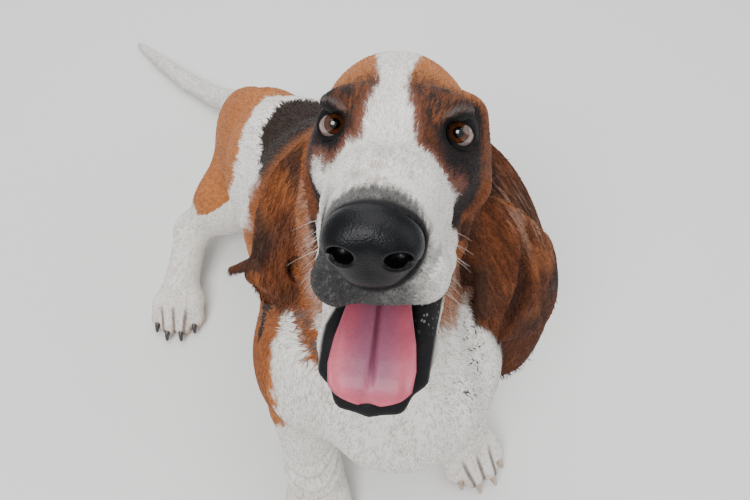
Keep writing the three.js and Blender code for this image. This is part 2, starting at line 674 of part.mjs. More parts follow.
// A sheet with a middle line, a half width and thickness at each station, and its own cross bend
function sheet(middle, faceOf, halfWidths, thicknesses, bend, rows, columns, swell = 0) {
  const line = new THREE.CatmullRomCurve3(middle.map((p) => new THREE.Vector3(...p)));
  const sample = (list, t) => {
    const x = t * (list.length - 1);
    const i = Math.min(Math.floor(x), list.length - 2);
    return mix(list[i], list[i + 1], x - i);
  };
  const vertices = [];
  const faces = [];
  const index = (side, i, j) => (side * (rows + 1) + i) * (columns + 1) + j;
  for (const side of [0, 1]) for (let i = 0; i <= rows; i++) for (let j = 0; j <= columns; j++) {
    const t = i / rows;
    const u = (j / columns) * 2 - 1;
    const centre = line.getPoint(t).toArray();
    const along = unit(line.getTangent(t).toArray());
    const face = faceOf(t);
    const wide = unit(cross(along, face));
    const out = cross(wide, along);
    const half = sample(halfWidths, t);
    const [shift, lift, lean] = bend(u, t, half);
    const rim = Math.sqrt(Math.max(1 - u * u, 0)) * Math.sqrt(clamp((1 - t) * rows * 0.9, 0.05, 1));
    const thick = Math.max(sample(thicknesses, t) * rim, 1.4) / 2 + swell;
    const slope = unit(plus(times(out, Math.cos(lean)), times(wide, Math.sin(lean))));
    const rimWay = plus(times(wide, Math.cos(lean)), times(out, -Math.sin(lean)));
    const past = plus(times(rimWay, j === 0 ? -swell : j === columns ? swell : 0),
      times(along, i === 0 ? -swell : i === rows ? swell : 0));
    const place = plus(plus(plus(centre, times(wide, shift)), times(out, lift)), past);
    vertices.push(plus(place, times(slope, side === 0 ? thick : -thick)));
  }
  for (let i = 0; i < rows; i++) for (let j = 0; j < columns; j++) {
    const [a, b, c, d] = [[i, j], [i, j + 1], [i + 1, j + 1], [i + 1, j]];
    const upper = [a, b, c, d].map((spot) => index(0, ...spot));
    const lower = [a, b, c, d].map((spot) => index(1, ...spot));
    faces.push([upper[0], upper[1], upper[2]], [upper[0], upper[2], upper[3]]);
    faces.push([lower[0], lower[2], lower[1]], [lower[0], lower[3], lower[2]]);
  }
  const edge = [];
  for (let j = 0; j < columns; j++) edge.push([0, j]);
  for (let i = 0; i < rows; i++) edge.push([i, columns]);
  for (let j = columns; j > 0; j--) edge.push([rows, j]);
  for (let i = rows; i > 0; i--) edge.push([i, 0]);
  edge.forEach((here, n) => {
    const next = edge[(n + 1) % edge.length];
    faces.push([index(0, ...here), index(1, ...here), index(1, ...next)]);
    faces.push([index(0, ...here), index(1, ...next), index(0, ...next)]);
  });
  let solid = solidFromFaces({ vertices, faces });
  if (solid.volume() < 0) solid = solidFromFaces({ vertices, faces: faces.map(([a, b, c]) => [a, c, b]) });
  return solid;
}

// Across an ear the sheet curls round a cylinder of the given radius
const curl = (radius) => (u, t, half) => {
  const angle = u * half / radius;
  return [Math.sin(angle) * radius, (Math.cos(angle) - 1) * radius, angle];
};
const EARS = {
  left: {
    ridge: [
      [110, 228, 420], [132, 200, 388], [152, 168, 344], [165, 145, 290], [163, 125, 238], [150, 111, 198],
    ],
    face: [0.42, -0.76, 0.5],
    half: [22, 38, 56, 70, 66, 36],
    radius: 54,
  },
  right: {
    ridge: [
      [14, 274, 408], [-8, 257, 394], [-29, 238, 372], [-42, 220, 348], [-48, 210, 328], [-49, 206, 312],
    ],
    face: [-0.5, -0.62, 0.6],
    half: [18, 32, 40, 42, 36, 20],
    radius: 34,
  },
};
// The right ear is rolled up at its end: a round fold with a hollow, and the tip turned out behind it
const ROLL = { from: [-60, 232, 334], to: [-34, 213, 324], radii: [10, 12] };
const TIP = { from: [-56, 244, 330], to: [-80, 256, 312], radii: [7, 3.5] };
const HOLLOW = { centre: [-28, 218, 346], radii: [9, 12, 13] };
const EAR_CLEAR = 1;
const EAR_THICK = [9, 7, 6, 6, 6, 5];
const earSheet = (ear, by) => sheet(
  ear.ridge, () => unit(ear.face), ear.half, EAR_THICK, curl(ear.radius), 12, 7, by);
// A short limb as a solid, from the same field as the body's
function limbSolid({ from, to, radii }, by, size) {
  const reach = Math.max(...radii) + by + size;
  const low = from.map((v, k) => Math.min(v, to[k]) - reach);
  const high = from.map((v, k) => Math.max(v, to[k]) + reach);
  const field = limb(from, to, radii[0] + by, radii[1] + by);
  return solidFromFaces(thinned(surface(field, low, high, size), 0.6));
}
function hollowSolid(by) {
  const geometry = new THREE.SphereGeometry(1, 12, 8);
  geometry.scale(...HOLLOW.radii.map((r) => r - by));
  geometry.translate(...HOLLOW.centre);
  return solidFromGeometry(geometry);
}
function earSolid(ear, by) {
  if (ear === EARS.left) return earSheet(ear, by);
  const rolledUp = earSheet(ear, by).add(limbSolid(ROLL, by, 7)).add(limbSolid(TIP, by, 5));
  return largest(rolledUp.subtract(hollowSolid(by)));
}

// The way its upper face looks: up from the jaw at the root, more forward at the tip
const TONGUE_HANGS = [0.6, 1.2];
function tongueFace(t) {
  const share = clamp((t - TONGUE_HANGS[0]) / (TONGUE_HANGS[1] - TONGUE_HANGS[0]), 0, 1);
  const turn = radians(JAW_DROP + 90 * share);
  return plus(times(HEAD_Y, -Math.sin(turn)), times(HEAD_Z, Math.cos(turn)));
}
const tongueSolid = () => sheet(
  TONGUE.map(fromHead), tongueFace, TONGUE_HALF, TONGUE_THICK,
  (u, t, half) => [u * half, 3 * u * u - 2 * Math.exp(-((u / 0.2) ** 2)), 0], 10, 6);

// Four blunt claws on a paw, one before each toe
function withClaws(solid, leg, scale) {
  let all = solid;
  for (const [x, y] of TOES) {
    const end = toeEnd(x, y, scale);
    const root = unturned(plus(end, [0, -CLAW.root, 2]), leg.paw, leg.turn);
    const tip = unturned(plus(end, [x * 0.06, -CLAW.root - CLAW.long, 2 - CLAW.drop]), leg.paw, leg.turn);
    const geometry = new THREE.CylinderGeometry(CLAW.tip, CLAW.radius, length(minus(tip, root)), 6);
    geometry.applyQuaternion(new THREE.Quaternion().setFromUnitVectors(
      new THREE.Vector3(0, 1, 0), new THREE.Vector3(...unit(minus(tip, root)))));
    geometry.translate(...mixPoint(root, tip, 0.5));
    all = all.add(solidFromGeometry(geometry));
  }
  return largest(flatBottom(all));
}

// The nodes
const tint = (color, roughness) => new THREE.MeshStandardMaterial({ color, roughness, metalness: 0 });
const COLOURS = {
  white: tint(0xe9e4dc, 0.8), brown: tint(0x7a3b1c, 0.8), black: tint(0x1c1a1a, 0.5),
  pink: tint(0xc97f86, 0.4), eye: tint(0x2a1608, 0.1),
};
const group = new THREE.Group();
const dog = new THREE.Group();
dog.position.set(...times(ORIGIN, -1));
group.add(dog);
function addNode(name, solid, material) {
  const mesh = new THREE.Mesh(geometryFrom(solid), material);
  mesh.name = name;
  dog.add(mesh);
}

const headBox = [[-92, -150, -190], [92, 132, 66]];
const HEAD_GRID = [6, [[20, 5.5], [132, 9]], 6];
const headWhole = fleshNode(...headBox, HEAD_GRID, 2.3, [beforeNeck], fromHead);
const eyes = { left: eyeCentre(1), right: eyeCentre(-1) };
const noseMesh = thinned(surface(noseField, [-30, -136, -50], [30, -100, 6], 3.5), 1.1);
const inHead = (mesh) => ({ ...mesh, vertices: mesh.vertices.map(fromHead) });
const nose = largest(solidFromFaces(inHead(noseMesh)));
const noseRoom = solidFromFaces(inHead(swollen(noseMesh, noseField, GAP + 0.1)));
const ears = { left: earSolid(EARS.left, 0), right: earSolid(EARS.right, 0) };
const earRoom = earSolid(EARS.left, EAR_CLEAR).add(earSolid(EARS.right, EAR_CLEAR));
const clearOfEars = (solid) => solid.subtract(earRoom);
const tongue = tongueSolid();

let headSolid = clearOfEars(headWhole).subtract(jawWedge(GAP)).subtract(noseRoom);
for (const side of ['left', 'right']) {
  headSolid = headSolid.subtract(ballSolid(eyes[side], EYE_RADIUS + GAP));
  addNode(`eye_${side}`, ballSolid(eyes[side], EYE_RADIUS), COLOURS.eye);
}
const jawSolid = clearOfEars(headWhole).intersect(jawWedge(0));
addNode('head', largest(headSolid), COLOURS.white);
addNode('lower_jaw', largest(jawSolid), COLOURS.black);
addNode('nose', nose, COLOURS.black);
addNode('tongue', largest(tongue.subtract(jawSolid).subtract(headSolid)), COLOURS.pink);

addNode('neck', fleshNode([-110, 60, 180], [220, 440, 500], 12, 3.8, [
  behindHead, aboveTrunk, clearOfEars]), COLOURS.white);
addNode('torso', fleshNode([-130, 20, -20], [190, 620, 420], 15, 4.5, [
  behindHead, belowNeck, beforeRump, ...Object.keys(legBlock).map(without), clearOfEars]), COLOURS.white);
addNode('rump', fleshNode([-110, 430, -20], [130, 740, 330], 13, 3.5, [
  behindTrunk, beforeTail, without('hindRight'), without('hindLeft')]), COLOURS.white);
for (const [side, sign] of [['right', -1], ['left', 1]]) {
  const fore = side === 'right' ? 'foreRight' : 'foreLeft';
  const hind = side === 'right' ? 'hindRight' : 'hindLeft';
  const leg = FORELEGS[side];
  const about = (p, r, low, high) => [[p[0] - r, p[1] - r, low], [p[0] + r, p[1] + r, high]];
  addNode(`foreleg_${side}`, fleshNode(...about(leg.elbow, 86, 20, 172), 10, 2.6, [
    within(fore), abovePaw, clearOfEars]), COLOURS.white);
  addNode(`forepaw_${side}`, withClaws(fleshNode(...about(leg.paw, 62, -12, 66), 5.5, 3, [
    within(fore), belowLeg]), leg, 1), COLOURS.white);
  const hindLeg = HINDLEGS[side];
  const outer = hindLeg.paw[0] + 60 * sign;
  const low = [Math.min(outer, RUMP_MIDDLE), 330, -15];
  const high = [Math.max(outer, RUMP_MIDDLE), 690, 190];
  addNode(`hindleg_${side}`, fleshNode(low, high, 11, 3, [within(hind), behindPaw(hindLeg)]), COLOURS.white);
  addNode(`hindpaw_${side}`, withClaws(fleshNode(...about(hindLeg.paw, 62, -12, 60), 5.5, 3, [
    within(hind), beforeLeg(hindLeg)]), hindLeg, HIND_SCALE), COLOURS.white);
}
addNode('tail', largest(flatBottom(afterRump(tube(TAIL, TAIL_RADII, 18, 10)))), COLOURS.white);
for (const side of ['left', 'right']) {
  addNode(`ear_${side}`, ears[side], COLOURS.brown);
}

group.updateMatrixWorld(true);
export default group;
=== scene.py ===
# A basset hound sitting with its head raised, mouth open: a still, life-size model.
# Forms are worked out in millimetres in the solids' own frame and placed in metres.
import math
import bpy
import numpy as np
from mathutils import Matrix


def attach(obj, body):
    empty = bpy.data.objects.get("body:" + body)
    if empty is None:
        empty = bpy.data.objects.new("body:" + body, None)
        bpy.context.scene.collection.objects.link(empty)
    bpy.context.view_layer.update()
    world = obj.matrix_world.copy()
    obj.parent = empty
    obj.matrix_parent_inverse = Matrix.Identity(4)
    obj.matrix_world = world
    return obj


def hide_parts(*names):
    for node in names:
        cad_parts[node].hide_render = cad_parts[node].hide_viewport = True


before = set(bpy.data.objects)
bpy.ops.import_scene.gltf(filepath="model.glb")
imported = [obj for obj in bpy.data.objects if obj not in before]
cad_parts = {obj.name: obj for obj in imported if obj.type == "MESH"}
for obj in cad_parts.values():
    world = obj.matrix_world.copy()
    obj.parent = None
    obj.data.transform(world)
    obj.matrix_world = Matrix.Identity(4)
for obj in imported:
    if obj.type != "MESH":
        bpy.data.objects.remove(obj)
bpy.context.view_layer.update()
rng = np.random.default_rng(7)

# Sizes shared with the solids
ORIGIN = (4, 505.75, 0)
HEAD_AT = (55.5, 226, 466)
HEAD_YAW, HEAD_PITCH, HEAD_ROLL, JAW_DROP = 29.3, 31, 1.6, 33
EYE_SPREAD, EYE_BACK, EYE_LOW, EYE_RADIUS = 41, 9, -3.5, 11.5
JAW_HINGE = (38, -46)
FAR = 60.0                          # what a field says outside its box


def vec(*v):
    return np.array(v, np.float32)


def column(*v):
    return vec(*v)[:, None]


def unit(v):
    v = np.asarray(v, np.float64)
    return v / np.linalg.norm(v)


def unit_rows(v):
    return v / np.linalg.norm(v, axis=1)[:, None]


def size(q):
    return np.sqrt((q * q).sum(0))


def away(q, centre, spread=(1, 1, 1)):
    return size((q - column(*centre)) / column(*spread))


def cos_sin(degrees):
    return math.cos(math.radians(degrees)), math.sin(math.radians(degrees))


def ramp(x, low, high):
    t = np.clip((x - low) / (high - low), 0, 1)
    return t * t * (3 - 2 * t)


# Rises from a to b and falls again from c to d
def band(x, a, b, c, d):
    return ramp(x, a, b) * ramp(x, d, c)


def table(x, *pairs):
    return np.interp(x, [a for a, _ in pairs], [b for _, b in pairs])


# Head frame: x to the dog's left, y to the back of the skull, z to the crown
def head_axes():
    (cy, sy), (cp, sp), (cr, sr) = (cos_sin(a) for a in (HEAD_YAW, HEAD_PITCH, HEAD_ROLL))
    back = vec(sy * cp, cy * cp, -sp)
    level = vec(cy, -sy, 0)
    crown = np.cross(level, back)
    return np.array([level * cr + crown * sr, back, crown * cr - level * sr], np.float32)


HEAD = head_axes()


def to_head(p):
    return HEAD @ (p - column(*HEAD_AT))


def from_head(q):
    q = np.asarray(q, np.float32)
    return HEAD.T @ q + (column(*HEAD_AT) if q.ndim == 2 else vec(*HEAD_AT))


# Both halves of the head laid on its left half
def mirrored(q):
    return np.stack([np.abs(q[0]), q[1], q[2]])


# Distance fields on arrays of points, three rows by n columns: negative inside
def blend(a, b, k):
    h = np.maximum(k - np.abs(a - b), 0) / k
    return np.minimum(a, b) - h * h * k * 0.25


def carve(a, b, k):
    return -blend(-a, b, k)


def egg(centre, radii):
    c, r = column(*centre), column(*radii)

    def field(p):
        q = (p - c) / r
        k0 = size(q)
        return k0 * (k0 - 1) / np.maximum(size(q / r), 1e-6)
    return field


def limb(a, b, ra, rb):
    start = column(*a)
    way = column(*b) - start
    span = float((way * way).sum())

    def field(p):
        q = p - start
        t = np.clip((q * way).sum(0) / span, 0, 1)
        return size(q - way * t) - (ra + (rb - ra) * t)
    return field


def trunk(stations, k):
    pieces = []
    for (a, wa, ha), (b, wb, hb) in zip(stations[:-1], stations[1:]):
        along = unit(np.subtract(b, a))
        side = unit(np.cross(along, (0, 0, 1)))
        axes = np.array([side, np.cross(side, along), along], np.float32)
        pieces.append((column(*a), axes, math.dist(a, b), wa, ha, wb, hb))

    def field(p):
        d = None
        for start, axes, span, wa, ha, wb, hb in pieces:
            u, v, run = axes @ (p - start)
            t = np.clip(run / span, 0, 1)
            w, h = wa + (wb - wa) * t, ha + (hb - ha) * t
            over = run - t * span
            cap = np.minimum(w, h)
            k0 = np.sqrt((u / w) ** 2 + (v / h) ** 2 + (over / cap) ** 2)
            k1 = np.sqrt((u / w**2) ** 2 + (v / h**2) ** 2 + (over / cap**2) ** 2)
            one = k0 * (k0 - 1) / np.maximum(k1, 1e-6)
            d = one if d is None else blend(d, one, k)
        return d
    return field


def joined(k, *fields):
    def field(p):
        d = fields[0](p)
        for one in fields[1:]:
            d = blend(d, one(p), k)
        return d
    return field


# A field worked out only inside a box, and far away elsewhere
def inside_box(field, low, high):
    def boxed(p):
        d = np.full(p.shape[1], FAR, np.float32)
        here = ((p > column(*low)) & (p < column(*high))).all(0)
        if here.any():
            d[here] = field(p[:, here])
        return d
    return boxed


trunk_field = joined(
    40,
    trunk([((0, 632, 51), 42, 66), ((2, 588, 96), 50, 70), ((8, 495, 158), 66, 83),
           ((20, 400, 206), 80, 98), ((26, 310, 234), 84, 110), ((31, 215, 230), 96, 106),
           ((34, 142, 212), 86, 82)], 30),
    egg((32, 110, 204), (56, 36, 46)),
    egg((34, 300, 322), (38, 66, 44)))
neck_field = joined(
    30,
    trunk([((38, 224, 290), 82, 84), ((54, 244, 350), 68, 77), ((80, 282, 402), 54, 63)], 30),
    limb((38, 126, 262), (44, 190, 360), 42, 34))

FORELEGS = {
    "right": dict(shoulder=(-52, 184, 212), elbow=(-62, 172, 146), wrist=(-76, 126, 52),
                  paw=(-84, 96, 22), turn=-8),
    "left": dict(shoulder=(94, 158, 212), elbow=(100, 150, 146), wrist=(104, 112, 52),
                 paw=(106, 84, 22), turn=4)}
RUMP_MIDDLE = 4
HINDLEGS = {"right": dict(hip=(4, 598, 88), knee=(-70, 500, 88), hock=(-134, 502, 46),
                          paw=(-182, 408, 20), turn=-24)}
HINDLEGS["left"] = {k: (2 * RUMP_MIDDLE - v[0], v[1], v[2]) if k != "turn" else -v
                    for k, v in HINDLEGS["right"].items()}
TOES = ((-27, -16), (-10, -29), (10, -29), (27, -16))
HIND_SCALE = 0.92                   # a hind paw beside a forepaw
LIMBS = (("fore", FORELEGS, 1), ("hind", HINDLEGS, HIND_SCALE))


def moved(p, *by):
    return tuple(np.add(p, by))


def foreleg_field(leg):
    wrist = leg["wrist"]
    return joined(24, egg(leg["shoulder"], (44, 58, 76)),
                  limb(leg["elbow"], wrist, 37, 27),
                  limb(moved(wrist, 0, -4, 6), moved(wrist, 0, -10, -18), 28, 30))


def hindleg_field(leg):
    inward = 10 if leg["turn"] < 0 else -10
    return joined(22, limb(leg["hip"], leg["knee"], 49, 46),
                  limb(leg["knee"], leg["hock"], 38, 22),
                  limb(leg["hock"], moved(leg["paw"], inward, 24, 6), 22, 24))


def turn_matrix(degrees):
    c, s = cos_sin(degrees)
    return np.array([[c, s, 0], [-s, c, 0], [0, 0, 1]], np.float32)


def toe_end(x, y, scale):
    return (x * scale, y * scale - 4, -9)


def paw_field(leg, scale):
    turn, centre = turn_matrix(leg["turn"]), column(*leg["paw"])
    pad = egg((0, 4, -2), (38 * scale, 32 * scale, 24 * scale))
    toes = joined(2.5, *[limb((x * 0.8 * scale, y * 0.2, 4), toe_end(x, y, scale),
                              16 * scale, 13.5 * scale) for x, y in TOES])

    def field(p):
        q = turn @ (p - centre)
        return blend(pad(q), toes(q), 7)
    low, high = moved(leg["paw"], -90, -90, -90), moved(leg["paw"], 90, 90, 90)
    return inside_box(field, low, high)


TAIL = ((0, 676, 62), (-10, 735, 36), (-40, 785, 16), (-76, 842, 13.5), (-106, 905, 10.5),
        (-138, 980, 4.5))
TAIL_RADII = (28, 21, 17.5, 15.5, 12.5, 6)
tail_field = joined(4, *[limb(*one) for one in zip(TAIL, TAIL[1:], TAIL_RADII, TAIL_RADII[1:])])

# Head, the same on both sides of the middle
skull = joined(16, egg((0, 44, -12), (53, 62, 42)), egg((0, 88, -10), (29, 26, 28)),
               egg((33, 22, -28), (29, 44, 30)), egg((34, 34, -58), (24, 38, 38)),
               egg((28, -1, 13), (19, 17, 12)))
muzzle = joined(12, trunk([((0, 8, -14), 29, 22), ((0, -60, -17), 29, 20),
                           ((0, -108, -19), 25, 18)], 8),
                trunk([((0, 10, -36), 41, 28), ((0, -50, -36), 38.5, 26),
                       ((0, -98, -35), 31, 23)], 8))
flews = joined(10, limb((26, -96, -50), (29, -60, -62), 13, 14),
               limb((29, -60, -62), (35, -14, -66), 13, 14),
               limb((0, -106, -55), (24, -96, -54), 12, 13))
mouth_hollow = joined(6, limb((0, -116, -84), (0, -30, -88), 21, 14),
                      limb((15, -92, -86), (16, -34, -88), 12, 10),
                      limb((0, -30, -86), (0, 6, -82), 14, 8))


# A point along the lower jaw from its hinge and lifted off it, in the head's frame
def jaw_point(x, along, lift):
    c, s = cos_sin(JAW_DROP)
    return (x, JAW_HINGE[0] - along * c - lift * s, JAW_HINGE[1] - along * s + lift * c)


# The other way: how far along the lower jaw a point is, and how far lifted off it
def on_jaw(q):
    c, s = cos_sin(JAW_DROP)
    y, z = q[1] - JAW_HINGE[0], q[2] - JAW_HINGE[1]
    return -y * c - z * s, -y * s + z * c


jaw = joined(10, *[limb(jaw_point(*a), jaw_point(*b), ra, rb) for a, b, ra, rb in (
    ((30, 20, -24), (25, 132, -13), 21, 13), ((25, 132, -13), (0, 154, -11), 13, 14),
    ((0, 20, -30), (0, 138, -20), 24, 15), ((27, 40, -4), (27, 134, -2), 8, 7),
    ((27, 134, -2), (0, 168, -2), 7, 7), ((28, 124, -5), (28, 150, -7), 6, 6),
    ((28, 150, -7), (16, 167, -7), 6, 6), ((16, 167, -7), (0, 172, -7), 6, 6))])
EYE_LOOK = unit((0.09, -0.955, 0.25))
EYE_SIDE = unit(np.cross((0, 0, 1), EYE_LOOK))
EYE_UP = np.cross(EYE_LOOK, EYE_SIDE)
EYE_AXES = np.array([EYE_SIDE, EYE_UP, EYE_LOOK], np.float32)
EYE = vec(EYE_SPREAD, EYE_BACK, EYE_LOW)
socket = egg(EYE + 9 * EYE_LOOK, (13, 13, 10))
left_cheek = limb((46, 34, 0), (52, 16, -44), 16, 14)
LID = 1.5                           # how far the lids stand over the eyeball
LID_OPEN = (7.7, 6.6)               # half width and half height of the opening
LID_SLANT, LID_TOP = 0.28, 5.6      # how the opening slants, and where the upper lid cuts it
pouch = limb((33, -10, -18), (50, 1, -20), 4.5, 4)
upper_fold = limb((30, -7, 12), (45, -2, 13), 3, 2.5)


# Where a point lies over the left eye: sideways, up and out of it
def on_eye(h):
    return EYE_AXES @ (h - EYE[:, None])


# Lids round the eyeball, with an opening that slants down outward, a pouch and a fold
def with_lids(d, h):
    u, v, out = on_eye(h)
    ball = np.sqrt(u * u + v * v + out * out) - EYE_RADIUS - LID
    d = blend(blend(d, ball, 5), pouch(h), 6)
    d = blend(d, upper_fold(h), 8)
    wider = 1 + 0.05 * np.maximum(out - EYE_RADIUS, 0)
    slant = v + LID_SLANT * u
    opening = (np.hypot((u - 0.6) / LID_OPEN[0], (slant + 0.5) / LID_OPEN[1]) - wider) * LID_OPEN[1]
    opening = np.maximum(opening, slant - LID_TOP)
    return carve(d, np.maximum(opening, 3 - out), 1.0)


def head_form(q):
    h = mirrored(q)
    d = blend(skull(h), muzzle(h), 26)
    tucked = h + column(4, 0, 7) * ramp(-q[0], 2, 18) * ramp(q[1], -30, -60)
    d = blend(d, flews(tucked), 12)
    d = blend(d, left_cheek(q), 14)
    d = carve(d, socket(h), 8)
    d = with_lids(d, h)
    d = blend(d, jaw(h), 10)
    return carve(d, mouth_hollow(h), 5)


head_field = inside_box(lambda p: head_form(to_head(p)), (-110, 40, 280), (230, 420, 600))


# The middle line of a sheet, as a centripetal spline through its points
def spline(points, count):
    p = [np.array(q, float) for q in points]
    p = [2 * p[0] - p[1]] + p + [2 * p[-1] - p[-2]]
    out = []
    for s in np.linspace(0, len(points) - 1, count):
        i = min(int(s), len(points) - 2)
        t = s - i
        a, b, c, e = p[i:i + 4]
        da, db, dc = (max(np.linalg.norm(m - n), 1e-4) ** 0.5 for m, n in ((b, a), (c, b), (e, c)))
        m1 = ((b - a) / da - (c - a) / (da + db) + (c - b) / db) * db
        m2 = ((c - b) / db - (e - b) / (db + dc) + (e - c) / dc) * db
        t2, t3 = t * t, t * t * t
        out.append(b * (2 * t3 - 3 * t2 + 1) + m1 * (t3 - 2 * t2 + t)
                   + c * (3 * t2 - 2 * t3) + m2 * (t3 - t2))
    return np.array(out)


EARS = {
    "left": dict(ridge=[(110, 228, 420), (132, 200, 388), (152, 168, 344), (165, 145, 290),
                        (163, 125, 238), (150, 111, 198)],
                 face=(0.42, -0.76, 0.5), half=(22, 38, 56, 70, 66, 36), radius=54),
    "right": dict(ridge=[(14, 274, 408), (-8, 257, 394), (-29, 238, 372), (-42, 220, 348),
                         (-48, 210, 328), (-49, 206, 312)],
                  face=(-0.5, -0.62, 0.6), half=(18, 32, 40, 42, 36, 20), radius=34)}
# The right ear is rolled up at its end, with a hollow, and its tip turned out behind it
ROLL = limb((-60, 232, 334), (-34, 213, 324), 10, 12)
TIP = limb((-56, 244, 330), (-80, 256, 312), 7, 3.5)
HOLLOW = egg((-28, 218, 346), (9, 12, 13))
# The front edge of the left ear, thick where it leaves the cheek
FRONT = limb((103, 190, 396), (100, 168, 326), 8, 7)
EAR_THICK = (9, 7, 6, 6, 6, 5)
EAR_STEPS = 90


def prepare_ear(ear):
    line = spline(ear["ridge"], EAR_STEPS)
    along = unit_rows(np.gradient(line, axis=0))
    wide = unit_rows(np.cross(along, unit(ear["face"])))
    ear["line"] = line.astype(np.float32)
    ear["axes"] = np.stack([wide, np.cross(wide, along), along], 1).astype(np.float32)
    t, knots = np.linspace(0, 1, EAR_STEPS), np.linspace(0, 1, 6)
    ear["halves"] = np.interp(t, knots, ear["half"]).astype(np.float32)
    ear["thick"] = np.interp(t, knots, EAR_THICK).astype(np.float32)


# Where a point lies on an ear: along it, across it in mm, and off its middle surface
def on_ear(ear, p):
    n = p.shape[1]
    place = np.empty(n, int)
    for i in range(0, n, 40000):
        part = p[:, i:i + 40000].T
        far = ((part[:, None, :] - ear["line"][None]) ** 2).sum(2)
        place[i:i + 40000] = far.argmin(1)
    q = (p.T - ear["line"][place])
    a, b, s = np.einsum("nij,nj->in", ear["axes"][place], q)
    radius = ear["radius"]
    rho, angle = np.hypot(a, b + radius), np.arctan2(a, b + radius)
    return place, angle * radius, rho - radius, s


# The left ear hangs in two layers: a fold at the front ends above the lower part
def fold_edge(t):
    return table(t, (0.1, 0.45), (0.2, 0.15), (0.3, -0.12), (0.45, -0.42), (0.57, -0.52),
                 (0.66, -0.42), (0.73, -0.1))


# From 0 in the middle of the hollow of the left ear to 1 at its edge
def ear_hollow(t, share):
    return np.hypot((share - 0.36 - 1.4 * (t - 0.52)) / 0.13, (t - 0.52) / 0.17)


def fold_height(t, share):
    edge = fold_edge(t)
    layer = ramp(share, edge - 0.04, edge + 0.05) * band(t, 0.06, 0.22, 0.725, 0.755)
    front = band(share, 0.62, 0.80, 0.9, 1.0) * band(t, 0.1, 0.3, 0.5, 0.66)
    deep = ramp(ear_hollow(t, share), 1.3, 0.4)
    return 6 * layer + 4 * front - 7 * deep * layer


def ear_field(ear):
    low = ear["line"].min(0) - 75
    high = ear["line"].max(0) + 75

    def field(p):
        place, arc, off, s = on_ear(ear, p)
        t = place / (EAR_STEPS - 1)
        half, thick = ear["halves"][place], ear["thick"][place] / 2
        off = off - 2.2 * t * np.sin(arc / 15 + 5 * t) - 3 * t * ramp(np.abs(arc) / half, 0.6, 1)
        if ear is EARS["left"]:
            raised = fold_height(t, arc / half) / 2
            off = off - raised
            thick = thick + raised
        past = np.maximum(np.abs(arc) - half + thick, 0)
        ends = np.where((place == 0) | (place == EAR_STEPS - 1), np.abs(s), 0)
        return np.sqrt(past**2 + off**2 + ends**2) - thick * (1 - 0.4 * np.abs(arc) / half)

    def rolled(p):
        d = blend(blend(field(p), ROLL(p), 6), TIP(p), 4)
        return carve(d, HOLLOW(p), 3)

    def fronted(p):
        return blend(field(p), FRONT(p), 7)
    return inside_box(rolled if ear is EARS["right"] else fronted, low, high)


for one in EARS.values():
    prepare_ear(one)
PARTS = {"trunk": trunk_field, "neck": neck_field}
for side, low, high in (("right", -180, 60), ("left", -20, 220)):
    PARTS[f"foreleg_{side}"] = inside_box(foreleg_field(FORELEGS[side]), (low, 0, -40), (high, 340, 360))
for side, low, high in (("right", -290, 120), ("left", -110, 300)):
    PARTS[f"hindleg_{side}"] = inside_box(hindleg_field(HINDLEGS[side]), (low, 290, -60), (high, 740, 210))
for kind, legs, scale in LIMBS:
    for side, leg in legs.items():
        PARTS[f"{kind}paw_{side}"] = paw_field(leg, scale)
PARTS["tail"] = inside_box(tail_field, (-200, 600, -60), (90, 1050, 150))
PARTS["head"] = head_field
for side, ear in EARS.items():
    PARTS[f"ear_{side}"] = ear_field(ear)
NAMES = list(PARTS)
SOFTNESS = {"neck": 40, "leg": 30, "paw": 12, "tail": 16, "head": 26}
BLENDS = {name: k for name in NAMES for kind, k in SOFTNESS.items() if kind in name}
BODY_DEPTH, FACE_DEPTH = 1.8, 0.6   # how deep the coat is


nose_block = joined(8, egg((0, -115, -18), (22, 15, 15)), egg((13, -116, -24), (12.5, 12.5, 11.5)),
                    egg((0, -113, -35), (20, 12, 15)))


# Loose skin: rings over the wrists, folds down the throat and across the cheeks
def folds(p, q):
    x, y, z = p
    wave = 6 * np.sin(x / 17) + 5 * np.sin(y / 23)
    wrist = band(z, 44, 58, 96, 122) * ramp(y, 205, 185)
    throat = band(z, 228, 262, 322, 352) * ramp(y, 196, 168)
    cheek = ramp(np.abs(q[0]), 34, 42) * band(q[1], -6, 8, 52, 74) * band(-q[2], 24, 44, 96, 118)
    rings = 1.5 * wrist * np.sin((z + wave) / 2.6)
    furrows = 2.2 * throat * np.sin((x - 38 + 0.2 * wave) / 6.5)
    return rings + furrows + 1.5 * cheek * np.sin((q[1] - 0.55 * q[2]) / 3.4 + np.sin(q[2] / 11))


# The skin lies under the solids' surface by the coat's depth, least on the face and paws
def skin_field(p):
    d = PARTS["trunk"](p)
    for name, k in BLENDS.items():
        d = blend(d, PARTS[name](p), k)
    q = to_head(p)
    d = d + folds(p, q)
    face = ramp(-q[1], -60, -10) * ramp(q[2], -170, -120) * ramp(150 - size(q), 0, 30)
    low = ramp(60 - p[2], 0, 30)
    depth = BODY_DEPTH + (FACE_DEPTH - BODY_DEPTH) * np.maximum(face, low)
    d = d + depth
    k = 1.5 + 14 * ramp(q[2], -70, -20)
    for side in EARS:
        d = blend(d, PARTS[f"ear_{side}"](p) + 0.5, k)
    # Room for the nose pad, which fills it
    near = np.flatnonzero(away(q, (0, -118, -22)) < 45)
    if len(near):
        d[near] = np.maximum(d[near], -(nose_block(mirrored(q[:, near])) + 1.4))
    return np.maximum(d, 0.4 - p[2])


